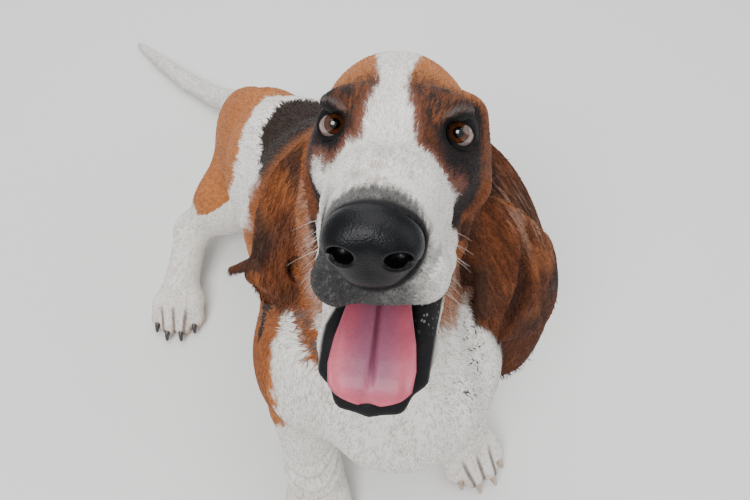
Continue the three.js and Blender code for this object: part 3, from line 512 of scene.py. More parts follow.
# Lines of a grid along one axis, from low in steps that differ from span to span
def grid_lines(low, *spans):
    lines = [np.array([low], float)]
    for high, step in spans:
        start = lines[-1][-1]
        count = max(int(math.ceil((high - start) / step)), 1)
        lines.append(start + (high - start) * np.arange(1, count + 1) / count)
    line = np.concatenate(lines)
    gap = line[-1] - line[-2]
    while len(line) % 4:
        line = np.append(line, line[-1] + gap)
    return line.astype(np.float32)


def in_chunks(field, p, count=400000):
    return np.concatenate([field(p[:, i:i + count]) for i in range(0, p.shape[1], count)])


# Closed surface of a field on a grid of uneven lines, one vertex a cell
def surface(field, lines, reach=2.0, rounds=1):
    blocks = [line.reshape(-1, 4) for line in lines]
    middles = [b.mean(1) for b in blocks]
    spread = [(b[:, 3] - b[:, 0]) * 0.5 + 4 for b in blocks]
    grid = np.stack(np.meshgrid(*middles, indexing="ij")).reshape(3, -1)
    wide = np.stack(np.meshgrid(*spread, indexing="ij")).reshape(3, -1)
    rough = in_chunks(field, grid.astype(np.float32))
    near = np.abs(rough) < size(wide) * 1.25
    counts = [len(m) for m in middles]
    values = np.where(rough > 0, 9, -9).astype(np.float32).reshape(counts)
    for axis in range(3):
        values = np.repeat(values, 4, axis)
    at = np.stack(np.unravel_index(np.flatnonzero(near), counts)) * 4
    offsets = np.stack(np.meshgrid(*[range(4)] * 3, indexing="ij")).reshape(3, -1)
    cells = (at[:, :, None] + offsets[:, None, :]).reshape(3, -1)
    points = np.stack([lines[k][cells[k]] for k in range(3)])
    values[tuple(cells)] = in_chunks(field, points)
    for axis in range(3):
        edge = [slice(None)] * 3
        for end in (0, -1):
            edge[axis] = end
            values[tuple(edge)] = np.maximum(values[tuple(edge)], 0.1)
    solid = values < 0
    total = solid.astype(np.int8)
    for axis in range(3):
        first, second = [slice(None)] * 3, [slice(None)] * 3
        first[axis], second[axis] = slice(None, -1), slice(1, None)
        total = total[tuple(first)] + total[tuple(second)]
    shape = total.shape
    cell_ids = np.flatnonzero((total > 0) & (total < 8))
    cell = np.stack(np.unravel_index(cell_ids, shape))
    sums, hits = np.zeros((3, len(cell_ids))), np.zeros(len(cell_ids))
    corners = [(a, b, c) for a in (0, 1) for b in (0, 1) for c in (0, 1)]
    value = {c: values[tuple(cell + np.array(c)[:, None])] for c in corners}
    place = {c: np.stack([lines[k][cell[k] + c[k]] for k in range(3)]) for c in corners}
    for a in corners:
        for axis in range(3):
            if a[axis]:
                continue
            b = tuple(v + (n == axis) for n, v in enumerate(a))
            cross = (value[a] < 0) != (value[b] < 0)
            t = value[a] / np.where(cross, value[a] - value[b], 1)
            sums += np.where(cross, place[a] + (place[b] - place[a]) * t, 0)
            hits += cross
    points = (sums / hits).astype(np.float32)
    quads = []
    for axis in range(3):
        one, two = [n for n in range(3) if n != axis]
        first, second = [slice(1, -1)] * 3, [slice(1, -1)] * 3
        first[axis], second[axis] = slice(None, -1), slice(1, None)
        change = solid[tuple(first)] != solid[tuple(second)]
        where = np.stack(np.nonzero(change))
        where[one] += 1
        where[two] += 1
        ring = []
        for a, b in ((1, 1), (0, 1), (0, 0), (1, 0)):
            c = where.copy()
            c[one] -= a
            c[two] -= b
            ring.append(np.searchsorted(cell_ids, np.ravel_multi_index(tuple(c), shape)))
        ring = np.stack(ring, 1)
        turn = solid[tuple(where)] == (axis == 1)
        ring[turn] = ring[turn][:, ::-1]
        quads.append(ring)
    for _ in range(rounds):
        step = np.clip(in_chunks(field, points), -reach, reach)
        points = points - slope(field, points) * step
    return points, np.concatenate(quads)


def slope(field, p, h=0.4):
    value = in_chunks(field, p)
    rise = np.stack([in_chunks(field, p + h * column(*(n == k for n in range(3)))) - value
                     for k in range(3)])
    return rise / np.maximum(size(rise), 1e-6)


# Mesh objects
def to_metres(p):
    return (p - column(*ORIGIN)) / 1000


def set_paint(piece, colours):
    layer = piece.data.attributes.new("paint", "FLOAT_COLOR", "POINT")
    rgba = np.ones((colours.shape[1], 4), np.float32)
    rgba[:, :3] = np.clip(colours, 0, 1).T
    layer.data.foreach_set("color", rgba.ravel())


def mesh_object(name, points, faces, colours, look):
    faces = np.asarray(faces, np.int32)
    mesh = bpy.data.meshes.new(name)
    mesh.vertices.add(points.shape[1])
    mesh.vertices.foreach_set("co", to_metres(points).T.astype(np.float32).ravel())
    mesh.loops.add(faces.size)
    mesh.loops.foreach_set("vertex_index", faces.ravel())
    mesh.polygons.add(len(faces))
    mesh.polygons.foreach_set("loop_start", np.arange(len(faces), dtype=np.int32) * faces.shape[1])
    mesh.update(calc_edges=True)
    mesh.polygons.foreach_set("use_smooth", np.full(len(faces), True))
    mesh.validate()
    piece = bpy.data.objects.new(name, mesh)
    bpy.context.collection.objects.link(piece)
    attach(piece, "root")
    set_paint(piece, colours)
    mesh.materials.append(look)
    return piece


# Value noise on points, from 0 to 1
def hashed(i, seed):
    h = (i[0] * 73856093) ^ (i[1] * 19349663) ^ (i[2] * 83492791) ^ (seed * 97531)
    h = ((h ^ (h >> 13)) * 1274126177) & 0x7FFFFFFF
    return ((h ^ (h >> 15)) & 0xFFFF) / 65535.0


def noise(p, scale, seed=0):
    q = p / (np.asarray(scale, np.float64).reshape(-1, 1))
    low = np.floor(q)
    f = q - low
    f = f * f * (3 - 2 * f)
    i = low.astype(np.int64)
    total = np.zeros(p.shape[1])
    for a in (0, 1):
        for b in (0, 1):
            for c in (0, 1):
                w = np.abs(1 - a - f[0]) * np.abs(1 - b - f[1]) * np.abs(1 - c - f[2])
                total += w * hashed((i[0] + a, i[1] + b, i[2] + c), seed)
    return total


# Which part a point belongs to, as weights that add up to 1
def belonging(p, soft=5.0):
    d = np.stack([in_chunks(PARTS[name], p) for name in NAMES])
    w = np.exp(-(d - d.min(0)) / soft)
    return w / w.sum(0)


def weight(w, start):
    return sum(w[n] for n, name in enumerate(NAMES) if name.startswith(start))


# Colours of the coat
WHITE = (0.84, 0.80, 0.74)
TAN = (0.47, 0.17, 0.055)
RUST = (0.30, 0.095, 0.03)
RUSSET = (0.20, 0.062, 0.022)
MAHOGANY = (0.15, 0.043, 0.015)
SABLE = (0.028, 0.017, 0.013)
SOOT = (0.020, 0.019, 0.020)
BLACK = (0.010, 0.009, 0.010)
GREY = (0.11, 0.098, 0.095)
STAINED = (0.62, 0.36, 0.20)
# Painted shade for the creases between the toes
TOE_CREASE_SHADE = (0.10, 0.052, 0.038)
FRINGE = (0.25, 0.095, 0.062)
TICKING = (0.34, 0.27, 0.25)
LID_RIM = (0.006, 0.005, 0.005)
# Grey lid skin with painted highlight on the fold above the eyes
LID_FOLD_LIT_SKIN = (0.16, 0.13, 0.12)
# Painted glints where the black lip is wet
WET_GLINT = (0.45, 0.42, 0.40)
GUM = (0.10, 0.03, 0.035)
MOUTH = (0.05, 0.014, 0.017)
# Painted shadow deep in the hollow of the left ear
EAR_HOLLOW_SHADE = (0.012, 0.006, 0.005)
EAR_END = (0.09, 0.024, 0.009)
# Painted sheen: a pale patch where light catches the left ear
EAR_SHEEN_PAINTED = (0.30, 0.20, 0.15)
EAR_INSIDE = (0.30, 0.13, 0.10)
WHISKER = (0.62, 0.58, 0.52)


def shades(colour, amount):
    return np.array(colour)[:, None] * amount


def toward(colour, other, t):
    return colour + (np.array(other)[:, None] - colour) * np.clip(t, 0, 1)


def toward_all(colour, other, t):
    return colour + (other - colour) * t


# Colours laid one over another, each with how much of it shows
def layered(colour, *coats):
    for other, t in coats:
        colour = toward(colour, other, t)
    return colour


# From 0 to 1 in the creases between the toes
def between_toes(p):
    crease = np.zeros(p.shape[1])
    for _, legs, scale in LIMBS:
        for leg in legs.values():
            c, s = cos_sin(leg["turn"])
            x, y, z = p - column(*leg["paw"])
            x, y = (c * x + s * y) / scale, (-s * x + c * y) / scale
            gap = np.min(np.abs(np.stack([x + 20 + 0.12 * y, x, x - 20 - 0.12 * y])), 0)
            front = ramp(y, -8, -22) * ramp(np.hypot(x, y), 62, 50) * ramp(z, -22, -14)
            crease = np.maximum(crease, ramp(gap, 3.4, 0.8) * front)
    return crease


# Markings of the body: a dark saddle, tan over the shoulders and the rump, white between
def body_paint(p, w):
    x, y, z = p
    middle = table(y, (142, 34), (215, 31), (310, 26), (400, 20), (495, 8), (588, 2), (632, 0))
    level = table(y, (142, 212), (215, 230), (310, 234), (400, 206), (495, 158), (588, 96), (632, 51))
    phi = np.degrees(np.arctan2(x - middle, z - level))
    wave = (noise(p, 9, 1) - 0.5) * 9 + (noise(p, (2.5, 6, 4), 2) - 0.5) * 7
    streak = noise(p, (2.2, 7, 7), 4)
    shoulder = np.hypot((y - 245) / 98, (z - 205) / 100)
    shoulder = np.where(np.abs(x - middle) > 24, (1 - shoulder) * 98, -20)
    # The saddle, between an edge on either side and one on the neck
    right = table(y, (150, -80), (220, -65), (260, -54), (300, -40), (336, -30), (388, -22),
                  (407, -17), (419, -8), (437, 4))
    left = table(y, (150, 84), (250, 80), (360, 66), (410, 50), (437, 24))
    dorsal = (x - 38) * -0.153 + (y - 224) * 0.9 + (z - 290) * -0.408
    inside = np.minimum.reduce([(phi - right) * 1.75, (left - phi) * 1.75, 438 - y, dorsal - 6])
    rim = ramp(inside + 26 + wave * 1.3, -4, 4) * ramp(y, 352, 318) * ramp(dorsal, -22, -12)
    start = table(phi, (-180, 480), (-90, 404), (-56, 388), (-30, 418), (-16, 439), (3, 505),
                  (12, 505), (30, 450), (60, 400), (90, 404), (180, 480))
    rump = np.where(np.abs(phi) < 118, np.minimum.reduce([y - start, z - 99, 704 - y]), -20)
    stripe = limb((-40, 226, 356), (-36, 150, 296), 13, 9)(p) + wave * 0.7
    neck = weight(w, "neck") * ramp(dorsal + wave, -40, -24) * ramp(np.abs(phi), 0, 25)
    # Tan cheeks go down the sides of the neck behind the corners of the mouth
    q = to_head(p)
    jowl = ramp(q[2] + wave, -166, -150) * ramp(np.abs(q[0] + 0.5 * wave), 27, 33) * ramp(q[1], -26, -14)
    # Small dark ticks on the left of the chest, tan freckles on the legs and paws
    spots = ramp(noise(p, 2.6, 8), 0.74, 0.82)
    chest = ramp(30 - np.hypot(x - 80, z - 284), 0, 14) * ramp(y, 170, 140)
    freckles = ramp(z, 120, 60) * ramp(noise(p, 4.2, 9), 0.66, 0.78)
    feet = weight(w, "hind") + weight(w, "fore")
    paws = weight(w, "hindpaw") + weight(w, "forepaw")
    return layered(
        shades(WHITE, 1 + 0.05 * (noise(p, 30, 3) - 0.5)),
        (TAN, ramp(shoulder + wave, -3, 3)),
        (RUST, ramp(shoulder - 34 + wave * 2, -12, 12) * (0.35 + 0.5 * streak)),
        (RUST, rim),
        (SABLE, ramp(inside + wave * 0.8, -3, 3)),
        (TAN, ramp(rump + wave, -3, 3) * (1 - weight(w, "hindpaw"))),
        (RUST, ramp(rump - 40 + 2 * wave, -20, 40) * 0.5 * streak),
        (RUST, ramp(-stripe, -3, 3)),
        (GREY, ramp(-stripe - 2, -2, 4) * ramp(streak, 0.35, 0.6) * 0.8),
        (MAHOGANY, neck * ramp(z, 318, 340)),
        (RUST, jowl * ramp(q[1], 130, 100) * (0.75 + 0.25 * streak)),
        (BLACK, spots * chest),
        (TAN, freckles * feet * 0.25),
        (STAINED, paws * ramp(z, 24, 6) * 0.5),
        # Painted shade in the creases between the toes
        (TOE_CREASE_SHADE, between_toes(p) * paws * 0.8))


BLAZE = ((-28, -3, 16), (8, -3.5, 9), (60, -5, 15), (90, -5, 17), (140, -5, 16))
MUZZLE_EDGE = ((-60, -8), (-50, -14), (-40, -27), (-34, -30), (-26, -30), (-20, -33), (0, -34),
               (13, -36), (20, -40), (30, -38), (37, -34), (45, -28), (60, -22))


# Markings of the head: white blaze and muzzle, black about the eyes, tan crown, mahogany cheeks
def head_paint(q):
    x, y, z = q
    side = mirrored(q)
    streak = noise(q, (1.3, 9, 4), 11)
    fine = noise(q, (0.8, 5, 2), 12)
    wave = (streak - 0.5) * 9 + (fine - 0.5) * 5
    brow = ramp(y + wave * 3.2, 62, 6) * ramp(z, -30, -4)
    around = away(side, (43, 0, -8), (1, 1.1, 1))
    below = away(side, (44, -20, -30), (1, 1, 1.25))
    dark = np.maximum(ramp(31 - around + wave * 0.5, -4, 8), ramp(24 - below + wave * 0.5, -4, 5))
    outer = ramp(side[0], 54, 60) * ramp(y, -16, 6)
    centre = table(y, *[(a, b) for a, b, _ in BLAZE])
    half = table(y, *[(a, c) for a, _, c in BLAZE])
    blaze = np.where(z > -30, half - np.abs(x - centre), -20)
    front = (table(x, *MUZZLE_EDGE) - y) * 0.9
    white = np.maximum(blaze, front) + wave * 0.55
    fringe = ramp(white, -8, -2) * ramp(26 - np.abs(z + 4), -8, 6) * ramp(white, 1, -1)
    # Grey ticking on the bridge, soot about the nose and along the right lip
    blotch = ramp(noise(q, (5, 7, 5), 14), 0.45, 0.75) * ramp(26 - np.abs(x + 2), 0, 16)
    over = away(q, (-1, -107, 0), (1.6, 1.1, 0.8))
    reach = away(q, (-2, -116, -24), (1.05, 1, 1))
    lip = ramp(z, -37, -47) * ramp(y + wave, -58, -84) * ramp(x + wave * 0.6, 44, 14)
    mottle = ramp(noise(q, (5, 8, 5), 15), 0.5, 0.72) * ramp(46 - reach, 0, 8) * ramp(z, -8, -22)
    soot = np.maximum.reduce([
        ramp(12 - over + wave * 0.8, -4, 14) * (0.45 + 0.5 * streak),
        ramp(34 - reach + wave * 0.5, 0, 8) * 0.9,
        ramp(-x, 4, 20) * ramp(y + wave * 0.6, -56, -88) * ramp(z + wave * 0.4, -8, -26),
        lip * (0.92 + 0.08 * ramp(-x, -10, 10)),
        mottle * 0.55])
    pale = ramp(fine, 0.62, 0.85) * 0.07
    edge = np.maximum(ramp(z, -66, -73) * ramp(y, 30, 0), ramp(nose_block(side), 2.5, 0.5))
    # Rims of the lids black, a greyer fold above them: grey lid skin, painted paler on the upper fold
    # where the light falls on it
    u, v, out = on_eye(side)
    ring = np.hypot(u, v * 1.1)
    lid = ramp(14.5 - ring, 0, 2.5) * ramp(out, 2, 5)
    fold = ramp(3.2 - np.abs(ring - 16.5), 0, 3) * ramp(v + 0.3 * u, 2, 7) * ramp(out, 0, 4)
    return layered(
        shades(MAHOGANY, 0.75 + 0.5 * streak),
        (RUST, ramp(noise(q, (9, 16, 12), 13), 0.45, 0.75) * 0.5),
        (TAN, ramp(y, 8, 38) * ramp(z, -26, 2)),
        (MAHOGANY, ramp(y, 80, 108) * 0.7),
        (SABLE, brow * (0.30 + 0.7 * ramp(streak, 0.3, 0.7))),
        (BLACK, dark * 0.95),
        (RUSSET, outer * (0.35 + 0.5 * ramp(streak, 0.35, 0.7))),
        (FRINGE, fringe * 0.65),
        (WHITE, ramp(white, -2, 3)),
        (TICKING, blotch * ramp(y, -40, -78) * (0.3 + 0.4 * streak)),
        (SOOT, soot * (0.98 - pale)),
        (BLACK, edge),
        (LID_RIM, lid),
        (LID_FOLD_LIT_SKIN, fold * 0.7 * (0.4 + 0.6 * streak)))


# Where the lower lip is bare and black, from 0 to 1
def lip_rim(q):
    x, _, z = q
    along, lift = on_jaw(q)
    reach = np.where(x > 0, table(along, (60, 44), (100, 42), (125, 38), (150, 36)),
                     table(along, (60, 27), (110, 28), (125, 34), (150, 36)))
    rim = ramp(reach - np.abs(x), -2, 2) * ramp(lift, -13, -8)
    front = ramp(along, 150, 158) * ramp(lift, -17, -12)
    here = ramp(jaw(mirrored(q)), 10, 4) * ramp(z, -70, -80)
    return np.maximum(rim, front) * here * ramp(lift, 20, 8)


# The lower jaw: a black rim round the tongue with painted highlights where it is wet, tan hair at the
# right, white under the chin
def jaw_paint(q):
    along, lift = on_jaw(q)
    streak = noise(q, (2, 7, 3), 21)
    rim = lip_rim(q)
    # Pale spots on the black rim: painted highlights where the lip is wet
    wet_glints = ramp(noise(q, 1.6, 22), 0.8, 0.88) * rim * ramp(q[0], 20, 28) * ramp(along, 130, 112)
    inner = ramp(20 - np.abs(q[0]), 0, 5) * ramp(lift, -9, -4) * ramp(along, 146, 134)
    return layered(
        shades(WHITE, np.ones(q.shape[1])),
        (RUST, ramp(along + 10 * (streak - 0.5), 104, 84)),
        (BLACK, rim),
        (WET_GLINT, wet_glints * 0.7),
        (GUM, inner * 0.8))


def ear_paint(side, p):
    ear = EARS[side]
    place, arc, off, _ = on_ear(ear, p)
    t = place / (EAR_STEPS - 1)
    share = arc / ear["halves"][place]
    streak = noise(np.stack([arc, t * 200, off]), (1.6, 14, 4), 31)
    colour = layered(
        shades(MAHOGANY, 0.40 + 0.75 * streak),
        (RUST, ramp(noise(p, 22, 32) + 0.3 * streak, 0.66, 1.0) * 0.7),
        (TAN, ramp(t, 0.12, 0.0) * 0.4),
        (RUST, ramp(np.abs(share), 0.8, 1.0) * (0.2 if side == "left" else 0.4)),
        (SABLE, ramp(noise(p, 30, 33), 0.45, 0.75) * 0.75))
    if side == "left":
        edge = fold_edge(t)
        # Painted shade on the lower layer of the left ear, which lies under the front fold
        under = ramp(share, edge, edge - 0.12) * ramp(share, -0.95, -0.6)
        # Painted highlight along the edge of the front fold
        fold_highlight = np.exp(-((share - edge) / 0.06) ** 2) * band(t, 0.15, 0.25, 0.7, 0.76)
        # Painted sheen high on the middle of the left ear, where light catches the hair
        painted_sheen = ramp(streak, 0.5, 0.8) * band(t, 0.12, 0.22, 0.34, 0.48)
        colour = layered(
            colour,
            # Painted shadow in the hollow between the layers of the left ear
            (EAR_HOLLOW_SHADE, ramp(ear_hollow(t, share), 1.4, 0.3) * 0.7),
            (SABLE, under * band(t, 0.15, 0.3, 0.7, 0.8) * 0.5),
            (EAR_END, ramp(t, 0.7, 0.78) * 0.8),
            (TAN, fold_highlight * 0.45),
            (EAR_SHEEN_PAINTED, painted_sheen * ramp(np.abs(share + 0.15), 0.5, 0.15) * 0.6))
    return toward(colour, EAR_INSIDE, ramp(-off, 1.0, 2.4) * 0.6)


def paint(p):
    w = belonging(p)
    q = to_head(p)
    h = mirrored(q)
    is_jaw = ramp(jaw(h), 9, 3) * ramp(q[2], -78, -86) * ramp(on_jaw(q)[1], 20, 4)
    face = toward_all(head_paint(q), jaw_paint(q), is_jaw)
    inside = ramp(mouth_hollow(h), 2.5, 0.5) * ramp(q[1], 12, -4)
    face = toward(face, MOUTH, inside * 0.95)
    head = np.maximum(ramp(weight(w, "head") + weight(w, "neck") * 0.25, 0.35, 0.65),
                      ramp(away(q, (0, 62, 0)), 78, 66))
    colour = toward_all(body_paint(p, w), face, head)
    for side in EARS:
        own = weight(w, f"ear_{side}")
        near = own > 0.02
        if near.any():
            ear = ear_paint(side, p[:, near])
            colour[:, near] = toward_all(colour[:, near], ear, ramp(own[near], 0.3, 0.7))
    return colour


# The lie of the coat: which way the hair grows at a point
def lie(p, w):
    q = to_head(p)
    sides = np.sign(p[0] - 26)
    chest = ramp(p[1], 190, 120)
    back = column(0.25, 0, 0) * sides + column(0, 1, -0.55)
    way = {"trunk": back * (1 - chest) + column(0, 0.1, -1) * chest,
           "neck": column(0.1, 0, 0) * sides + column(0, 0.35, -0.9),
           "tail": column(-0.35, 0.9, -0.15) + 0 * p}
    face = np.stack([0.18 * np.sign(q[0]), 1 + 0 * q[0], -0.5 * ramp(q[2], 0, -40) + 0.1])
    way["head"] = HEAD.T @ face
    for side, ear in EARS.items():
        way[f"ear_{side}"] = ear["axes"][on_ear(ear, p)[0]][:, 2].T
        for kind, legs, _ in LIMBS:
            leg = legs[side]
            fore = kind == "fore"
            top, ankle = ("elbow", "wrist") if fore else ("knee", "hock")
            shin = unit(np.subtract(leg[ankle], leg[top]))[:, None]
            foot = unit(np.subtract(leg["paw"], leg[ankle]))[:, None]
            high = ramp(p[2], 40, 70 if fore else 62)
            both = shin * high + foot * (1 - high)
            if not fore:
                both = both + column(0, 0.3, -0.5) * ramp(p[2], 70, 110)
            way[f"{kind}leg_{side}"] = both
            c, s = cos_sin(leg["turn"])
            way[f"{kind}paw_{side}"] = column(s, -c, -0.45) + 0 * p
    total = np.zeros_like(p)
    for n, name in enumerate(NAMES):
        one = way[name]
        total = total + w[n] * one / np.maximum(size(one), 1e-6)
    return total


# Camera, lights and floor
def set_stage():
    camera = bpy.data.objects.new("camera", bpy.data.cameras.new("camera"))
    bpy.context.collection.objects.link(camera)
    camera.location = (-0.054, -0.50575, 0.7385)
    camera.rotation_euler = (math.radians(30), 0, math.radians(-22))
    camera.data.lens = 560 / 750 * 36
    camera.data.sensor_width = 36
    camera.data.clip_start = 0.01
    bpy.context.scene.camera = camera
    bpy.ops.mesh.primitive_plane_add(size=8, location=(0, 0, -0.0005))
    floor = bpy.context.object
    floor.name = "floor"
    floor.data.materials.append(plain("floor", (0.72, 0.72, 0.7), 0.9))
    lamps = (("key", (-1.3, -1.3, 2.5), 1.5, 74), ("fill", (1.9, -1.2, 1.7), 2.2, 24),
             ("top", (0.2, 0.5, 2.8), 2.4, 58), ("back", (0.6, 2.2, 1.6), 1.8, 20))
    for name, place, width, power in lamps:
        lamp = bpy.data.objects.new(name, bpy.data.lights.new(name, "AREA"))
        bpy.context.collection.objects.link(lamp)
        lamp.data.size = width
        lamp.data.energy = power
        lamp.location = place
        way = unit(np.subtract((0, 0, 0.25), place))
        lamp.rotation_euler = (math.acos(-way[2]), 0, math.atan2(way[0], -way[1]) + math.pi)
    world = bpy.data.worlds.new("studio")
    bpy.context.scene.world = world
    world.use_nodes = True
    world.node_tree.nodes["Background"].inputs[0].default_value = (0.9, 0.94, 1, 1)
    world.node_tree.nodes["Background"].inputs[1].default_value = 0.5


def set_inputs(node, values):
    for name, value in values.items():
        node.inputs[name].default_value = value
    return node


def plain(name, colour, roughness):
    made = bpy.data.materials.new(name)
    made.use_nodes = True
    set_inputs(made.node_tree.nodes["Principled BSDF"],
               {"Base Color": (*colour, 1), "Roughness": roughness})
    return made


def add_bump(tree, height, distance, strength, invert=False):
    bump = set_inputs(tree.nodes.new("ShaderNodeBump"), {"Strength": strength, "Distance": distance})
    bump.invert = invert
    tree.links.new(height, bump.inputs["Height"])
    tree.links.new(bump.outputs["Normal"], tree.nodes["Principled BSDF"].inputs["Normal"])


# Materials: colour comes from the painted points, with fine procedural change and bump
def material(name, roughness, bump=None, coat=0.0, ior=1.5, specular=0.5, coat_rough=0.08):
    made = plain(name, (1, 1, 1), roughness)
    tree = made.node_tree
    shader = set_inputs(tree.nodes["Principled BSDF"], {
        "IOR": ior, "Specular IOR Level": specular, "Coat Weight": coat,
        "Coat Roughness": coat_rough})
    place = tree.nodes.new("ShaderNodeTexCoord")
    speckle = set_inputs(tree.nodes.new("ShaderNodeTexNoise"),
                         {"Scale": bump[0] if bump else 300, "Detail": 3})
    tree.links.new(place.outputs["Object"], speckle.inputs["Vector"])
    tone = set_inputs(tree.nodes.new("ShaderNodeMapRange"), {"To Min": 0.82, "To Max": 1.12})
    tree.links.new(speckle.outputs["Fac"], tone.inputs["Value"])
    mixed = tree.nodes.new("ShaderNodeMix")
    mixed.data_type = "RGBA"
    mixed.blend_type = "MULTIPLY"
    mixed.inputs["Factor"].default_value = 1
    source = tree.nodes.new("ShaderNodeAttribute")
    source.attribute_name = "paint"
    tree.links.new(source.outputs["Color"], mixed.inputs["A"])
    tree.links.new(tone.outputs["Result"], mixed.inputs["B"])
    tree.links.new(mixed.outputs["Result"], shader.inputs["Base Color"])
    if bump:
        add_bump(tree, speckle.outputs["Fac"], *bump[1:])
    return made


def pebbled(made, scale, distance, strength):
    tree = made.node_tree
    cells = set_inputs(tree.nodes.new("ShaderNodeTexVoronoi"), {"Scale": scale})
    place = [n for n in tree.nodes if n.type == "TEX_COORD"][0]
    tree.links.new(place.outputs["Object"], cells.inputs["Vector"])
    add_bump(tree, cells.outputs["Distance"], distance, strength, invert=True)
    return made


# Where tufts are rooted: points spread over the skin by area
def scatter(points, faces, density):
    a, b, c, d = (points[:, faces[:, k]] for k in range(4))
    area = size(np.cross(c - a, d - b, axis=0)) / 2
    middle = (a + b + c + d) / 4
    expected = area * density(middle)
    count = rng.poisson(expected)
    place = np.repeat(np.arange(len(faces)), count)
    u, v = rng.random((2, len(place)))
    corner = [one[:, place] for one in (a, b, c, d)]
    top = corner[0] + (corner[1] - corner[0]) * u
    low = corner[3] + (corner[2] - corner[3]) * u
    return (top + (low - top) * v).astype(np.float32)


# Where no hair grows: the lips, the lids, the nose, inside the mouth and right at the floor
def bareness(p):
    q = to_head(p)
    side = mirrored(q)
    u, v, out = on_eye(side)
    eyelid = ramp(13.0 - np.hypot(u, v * 1.15), 0, 1.0) * ramp(out, 1, 3)
    mouth = ramp(mouth_hollow(side), 3.0, 1.0)
    lip = ramp(lip_rim(q), 0.3, 0.7)
    nose = ramp(nose_block(side), 1.6, 0.4)
    floor = ramp(p[2], 2.5, 1.0)
    return np.maximum.reduce([eyelid, mouth, lip, nose, floor])


# Tufts by kind of part: length and width in mm, and how many to a square mm
HAIR = {"head": (4.6, 0.6, 0.42), "ear": (6.5, 0.8, 0.25), "paw": (3.8, 0.75, 0.33),
        "leg": (6.0, 0.95, 0.165), "tail": (9.0, 1.1, 0.13), "trunk": (9.0, 1.3, 0.085),
        "neck": (8.0, 1.1, 0.12)}


def hair(w, k):
    total = np.zeros(w.shape[1])
    for n, name in enumerate(NAMES):
        kind = [one for one in HAIR if one in name][0]
        total += w[n] * HAIR[kind][k]
    return total


def thickness(p):
    return hair(belonging(p), 2)


def hair_size(w, p):
    nearly = ramp(away(to_head(p), (0, -120, -22)), 60, 20)
    return hair(w, 0) * (1 - 0.45 * nearly), hair(w, 1) * (1 - 0.25 * nearly)


# The triangles of a tuft, and where its corners lie in its small patch of the unwrap
WEDGE = np.array([(0, 2, 1), (0, 1, 4), (0, 4, 3), (1, 2, 5), (1, 5, 4), (2, 0, 3), (2, 3, 5),
                  (3, 4, 6), (4, 5, 6), (5, 3, 6)])
PATCH = np.array([(0.2, 0), (0.8, 0), (0.5, 0.1), (0.1, 0.5), (0.9, 0.5), (0.5, 0.5), (0.5, 1)])
SHADE = np.array([0.80, 0.80, 0.88, 0.95, 0.95, 1.04, 1.12])    # paler from root to tip


# Each tuft is a closed wedge of three sections: root, middle and tip
def tufts(roots, w):
    n = roots.shape[1]
    out = slope(skin_field, roots)
    way = lie(roots, w)
    way = way + rng.normal(0, 0.16, (3, n)) + 0.22 * (noise(roots, 14, 41) - 0.5)
    way = way - out * (way * out).sum(0)
    way = way / np.maximum(size(way), 1e-6)
    long, wide = hair_size(w, roots)
    long = long * rng.uniform(0.75, 1.25, n)
    wide = wide * rng.uniform(0.75, 1.2, n)
    across = np.cross(out, way, axis=0)
    lift = np.clip(long * 0.045, 0.18, 0.6) * rng.uniform(0.5, 1.3, n)
    rows = [roots - out * 0.35]
    for share, high in ((0.5, 0.8), (1.0, 1.0)):
        p = roots + way * long * share
        level = in_chunks(skin_field, p.astype(np.float32))
        rows.append(p - out * np.clip(level, -3.5, 3.5) + out * (high * lift))
    points = []
    for row, half in zip(rows, (0.4, 0.5)):
        points += [row - across * wide * half, row + across * wide * half, row + out * wide * 0.28]
    points = np.stack(points + [rows[2]], 2).reshape(3, -1)
    points[2] = np.maximum(points[2], 0.35)
    return points, (np.arange(n)[:, None, None] * 7 + WEDGE[None]).reshape(-1, 3)


# The unwrap of a part: along it and round it, from its own axis
CHARTS = {"trunk": ((0, 640, 60), (34, 120, 225)), "neck": ((38, 200, 260), (80, 290, 420)),
          "tail": ((0, 676, 62), (-138, 980, 4.5))}


def chart(name, p):
    if name == "head":
        q = to_head(p)
        along = (q[1] + 150) / 300
        turn = np.arctan2(q[0], q[2] + 50) / (2 * math.pi) + 0.5
        return turn, along
    if name.startswith("ear"):
        ear = EARS[name[4:]]
        place, arc, off, _ = on_ear(ear, p)
        side = np.where(off > 0, 0.25, 0.75)
        return side + arc / 340, place / (EAR_STEPS - 1)
    if name in CHARTS:
        start, end = CHARTS[name]
    else:
        kind, side = name.split("_")
        leg = (FORELEGS if kind.startswith("fore") else HINDLEGS)[side]
        top = leg["shoulder"] if "shoulder" in leg else leg["hip"]
        start, end = (top, leg["paw"]) if "leg" in kind else (moved(leg["paw"], 0, 0, 30), leg["paw"])
    axis = unit(np.subtract(end, start))
    one = unit(np.cross(axis, (0.3, 0.2, 1)) if abs(axis[2]) < 0.9 else np.cross(axis, (0, 1, 0)))
    two = np.cross(axis, one)
    q = p - column(*start)
    along = (axis[:, None] * q).sum(0)
    turn = np.arctan2((two[:, None] * q).sum(0), (one[:, None] * q).sum(0)) / (2 * math.pi) + 0.5
    return turn, (along - along.min()) / max(along.max() - along.min(), 1)


def coat_piece(name, part, roots, colour, w):
    points, faces = tufts(roots, w)
    n = roots.shape[1]
    tone = rng.normal(1, 0.09, n) * (1 + 0.16 * (noise(roots, 4, 43) - 0.5))
    painted = (colour[:, :, None] * tone[None, :, None] * SHADE[None, None, :]).reshape(3, -1)
    slot = "ear_coat" if "ear" in part else "coat"
    piece = mesh_object(name, points, faces, painted, COAT)
    base = 0.01 + 0.975 * np.clip(np.stack(chart(part, roots), 1), 0, 1)
    corners = (base[:, None, :] + 0.003 * PATCH[None]).reshape(-1, 2)
    layer = piece.data.uv_layers.new(name="OFBake")
    layer.data.foreach_set("uv", corners[faces.ravel()].astype(np.float32).ravel())


